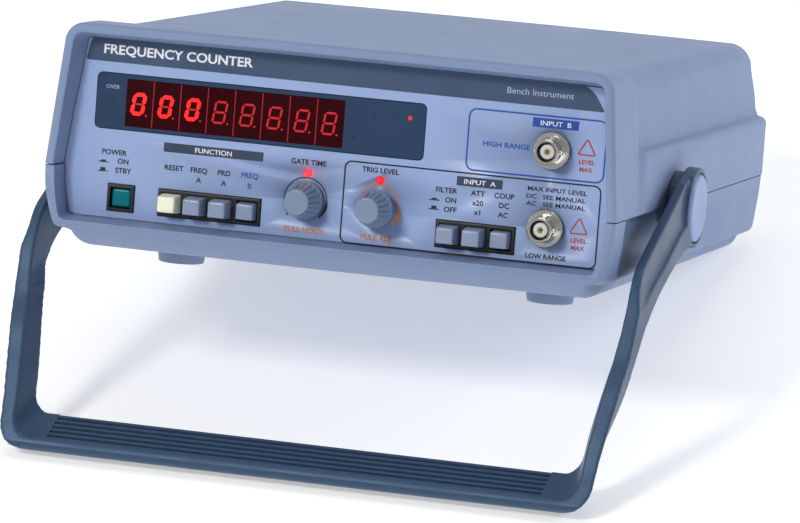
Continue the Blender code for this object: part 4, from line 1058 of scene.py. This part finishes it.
for zs, fade, shrink in levels:
    zz = lambda y: zs + 0.5 * (y + 21.5) * fade
    taper = 2.9 * smooth01((-7.0 - zs) / 13.0)
    y_in = float(np.interp(-zs, [0, 78], [5.6, -23.0]))
    xf = arm_x(zs) - ARM_T - shrink
    lp = []
    for y, d in ((-45.0, 0.0), (y_in, 0.0), (y_in + 15.0, taper), (140.0, taper)):
        lp.append((xf - d, y, zz(min(y, 35.0))))
    inner_rings.append(lp + [(-x, y, z) for x, y, z in reversed(lp)])
it = loft("t", inner_rings, None, 0)
cut(handle, [it])
WEB = [(78.5, 60.0), (78.5, 40.0), (76.4, 31.5), (78.0, 26.6), (70.9, 23.9), (58.1, 18.4), (44.0, 12.0), (30.6, 6.8), (21.6, 2.7),
       (13.2, -1.6), (9.0, -4.4), (6.0, -4.6), (0.0, 10.0), (0.0, 60.0)]
rib = sorted((z, y) for y, z in catmull(WEB[4:11]))


def rib_y(z):
    """Rear limit of the sunk web at height z: the rib, or the boss round the hub."""
    y = float(np.interp(z, [p[0] for p in rib], [p[1] for p in rib]))
    if z > 22.0:
        y = min(y if z < 25.0 else 90.0, HUB_Y - math.sqrt(max(0.0, 16.6 ** 2 - (z - HUB_Z) ** 2)))
    return y


webs = []
for s in (-1, 1):
    lv = []
    for z in (-5.0, -4.0, -2.5, -1.0, 1.0, 3.0, 5.0, 7.5, 10.0, 13.0, 16.0, 19.0, 22.0, 24.0, 26.0, 28.0, 30.0, 32.0, 34.0, 36.0, 38.0, 41.0, 44.0, 60.0):
        xi, yr = s * (125.5 - 2.0 * smooth01((z + 6.5) / 15.0)), rib_y(z)
        lv.append([(xi, -6.0, z), (xi, yr, z), (s * 135.0, yr, z), (s * 135.0, -6.0, z)])
    webs.append(loft("t", lv, None, 0))
cut(handle, webs)

rm = handle.modifiers.new("even", 'REMESH')
rm.mode, rm.voxel_size, rm.use_smooth_shade = 'VOXEL', 0.00055, True
sm = handle.modifiers.new("soft", 'SMOOTH')
sm.factor, sm.iterations = 0.5, 7
bake(handle)
ts = []
for s in (-1, 1):
    ts.append(put("t", turned_bm([(0, s * 100), (8.4, s * 100), (8.4, s * 140), (0, s * 140)], (HUB_Y, HUB_Z), 48, 'x'), None, 0))
    ts.append(put("t", turned_bm([(0, s * 123.0), (CAP_R + .35, s * 123.0), (CAP_R + .35, s * 124.6), (CAP_R + .9, s * 125.6),
                                  (CAP_R + .9, s * 140), (0, s * 140)], (HUB_Y, HUB_Z), 72, 'x'), None, 0))
slope = math.atan(0.5)
for k in range(6):
    t = 2.6 + k * 3.05
    y, z = -21.5 + t * math.cos(slope), -72.2 + t * math.sin(slope)
    # groove with sloping flanks
    sec = [(-0.6, -1.45), (0.6, -1.45), (0.8, -0.2), (1.1, 0.9), (-1.1, 0.9), (-0.8, -0.2)]
    bm = loft_bm([[(x, p, q) for p, q in sec] for x in (-99.3, 99.3)])
    bmesh.ops.rotate(bm, verts=bm.verts, matrix=Matrix.Rotation(slope, 3, 'X'))
    bmesh.ops.translate(bm, vec=(0, y, z), verts=bm.verts)
    ts.append(put("t", bm, None, 0))
cut(handle, ts)
handle.data.shade_smooth()
handle.data.set_sharp_from_angle(angle=math.radians(42))
done(handle, "handle_body", "handle")

for s, n in ((-1, "left"), (1, "right")):
    q = [(0, 125.62), (6.0, 125.72), (10.0, 125.8), (11.6, 125.9), (12.4, 125.75), (13.0, 125.4), (13.4, 124.9), (13.5, 124.4), (13.5, 123.3), (0, 123.3)]
    cp = put("hub_cap_%s_disc" % n, turned_bm([(r, s * x) for r, x in q], (HUB_Y, HUB_Z), 72, 'x'), HUBCAP, 30)
    done(cp, "handle_body", "hub_cap_" + n)

# ---------------------------------------------------------------- feet
for name, fx, fy in (("foot_front_left", -76.0, 62.0), ("foot_front_right", 76.0, 62.0), ("foot_rear_left", -76.0, 215.0),
                     ("foot_rear_right", 76.0, 215.0)):
    q = [(0, -8.0), (8.5, -8.0), (8.9, -7.85), (9.1, -7.4), (10.0, -0.5), (10.0, -0.3), (0, -0.3)]
    done(put(name + "_pad", turned_bm(q, (fx, fy), 48, 'z'), RUBBER, 30), "case_body", name)

# ---------------------------------------------------------------- stage, light, camera
bm = bmesh.new()
L = 7.0
prof = [(-5.0, 0.0), (4.8, 0.0)] + [(4.8 + 1.2 * math.sin(math.radians(a)), 1.2 * (1 - math.cos(math.radians(a)))) for a in range(10, 91, 10)] + [(6.0, 4.0)]
vr = [[bm.verts.new((x, y, z)) for y, z in prof] for x in (-L, L)]
for i in range(len(prof) - 1):
    bm.faces.new((vr[0][i], vr[1][i], vr[1][i + 1], vr[0][i + 1]))
me = bpy.data.meshes.new("studio_floor")
bm.to_mesh(me)
bm.free()
me.shade_smooth()
floor = bpy.data.objects.new("studio_floor", me)
bpy.context.scene.collection.objects.link(floor)
me.materials.append(surface("paper_sweep", (0.90, 0.90, 0.90, 1), 0.9, grain=60, bump=0.0, var=0.0, rough_var=0.02, spec=0.1,
                            emit=(1.0, 0.985, 0.955, 1), emit_k=0.42))
floor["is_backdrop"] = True

w = bpy.data.worlds.new("studio")
bpy.context.scene.world = w
w.use_nodes = True
wt = w.node_tree
bg = wt.nodes["Background"]
bg.inputs["Color"].default_value = (0.95, 0.975, 1.0, 1)
co = wt.nodes.new("ShaderNodeTexCoord")
sx = wt.nodes.new("ShaderNodeSeparateXYZ")
mr = wt.nodes.new("ShaderNodeMapRange")
mr.inputs["From Min"].default_value, mr.inputs["From Max"].default_value = 0.05, 0.6
mr.inputs["To Min"].default_value, mr.inputs["To Max"].default_value = 0.37, 0.24
wt.links.new(co.outputs["Generated"], sx.inputs["Vector"])
wt.links.new(sx.outputs["Z"], mr.inputs["Value"])
wt.links.new(mr.outputs["Result"], bg.inputs["Strength"])


def area(name, pos, aim, size, power, col=(1, 1, 1)):
    l = bpy.data.lights.new(name, 'AREA')
    l.shape, l.size, l.size_y, l.energy, l.color = 'RECTANGLE', size[0], size[1], power, col
    ob = bpy.data.objects.new(name, l)
    bpy.context.scene.collection.objects.link(ob)
    ob.location = pos
    ob.rotation_euler = (Vector(aim) - Vector(pos)).to_track_quat('-Z', 'Y').to_euler()
    return ob


area("key", (-0.75, -1.7, 1.6), (0.0, 0, 0.05), (0.45, 0.45), 23, (1.0, 0.97, 0.91))
area("side", (1.9, 1.15, 1.1), (0, 0, 0.05), (1.1, 0.9), 16, (0.78, 0.86, 1.0))
area("top", (-0.1, 0.4, 2.2), (0, 0, 0.05), (1.6, 1.2), 12, (0.88, 0.94, 1.0))

cam_d = bpy.data.cameras.new("camera")
cam_d.sensor_width = 36.0
cam_d.sensor_fit = 'HORIZONTAL'
cam_d.lens = 268.787
cam_d.clip_start, cam_d.clip_end = 0.1, 20.0
cam = bpy.data.objects.new("camera", cam_d)
bpy.context.scene.collection.objects.link(cam)
right = Vector((0.9580378, 0.2764927, 0.0756003))
down = Vector((0.1034746, -0.0876356, -0.9907639))
ahead = Vector((-0.2673137, 0.9570119, -0.1125682))
rot = Matrix((R @ right, R @ -down, R @ -ahead)).transposed()
cam.matrix_world = Matrix.Translation(world((642.83308, -2188.77642, 266.28074))) @ rot.to_4x4()
bpy.context.scene.camera = cam
bpy.context.scene.view_settings.view_transform = 'Standard'

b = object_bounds()
{"cad": [list(map(float, v)) for v in cad_box], "visual": [list(map(float, v)) for v in b]}
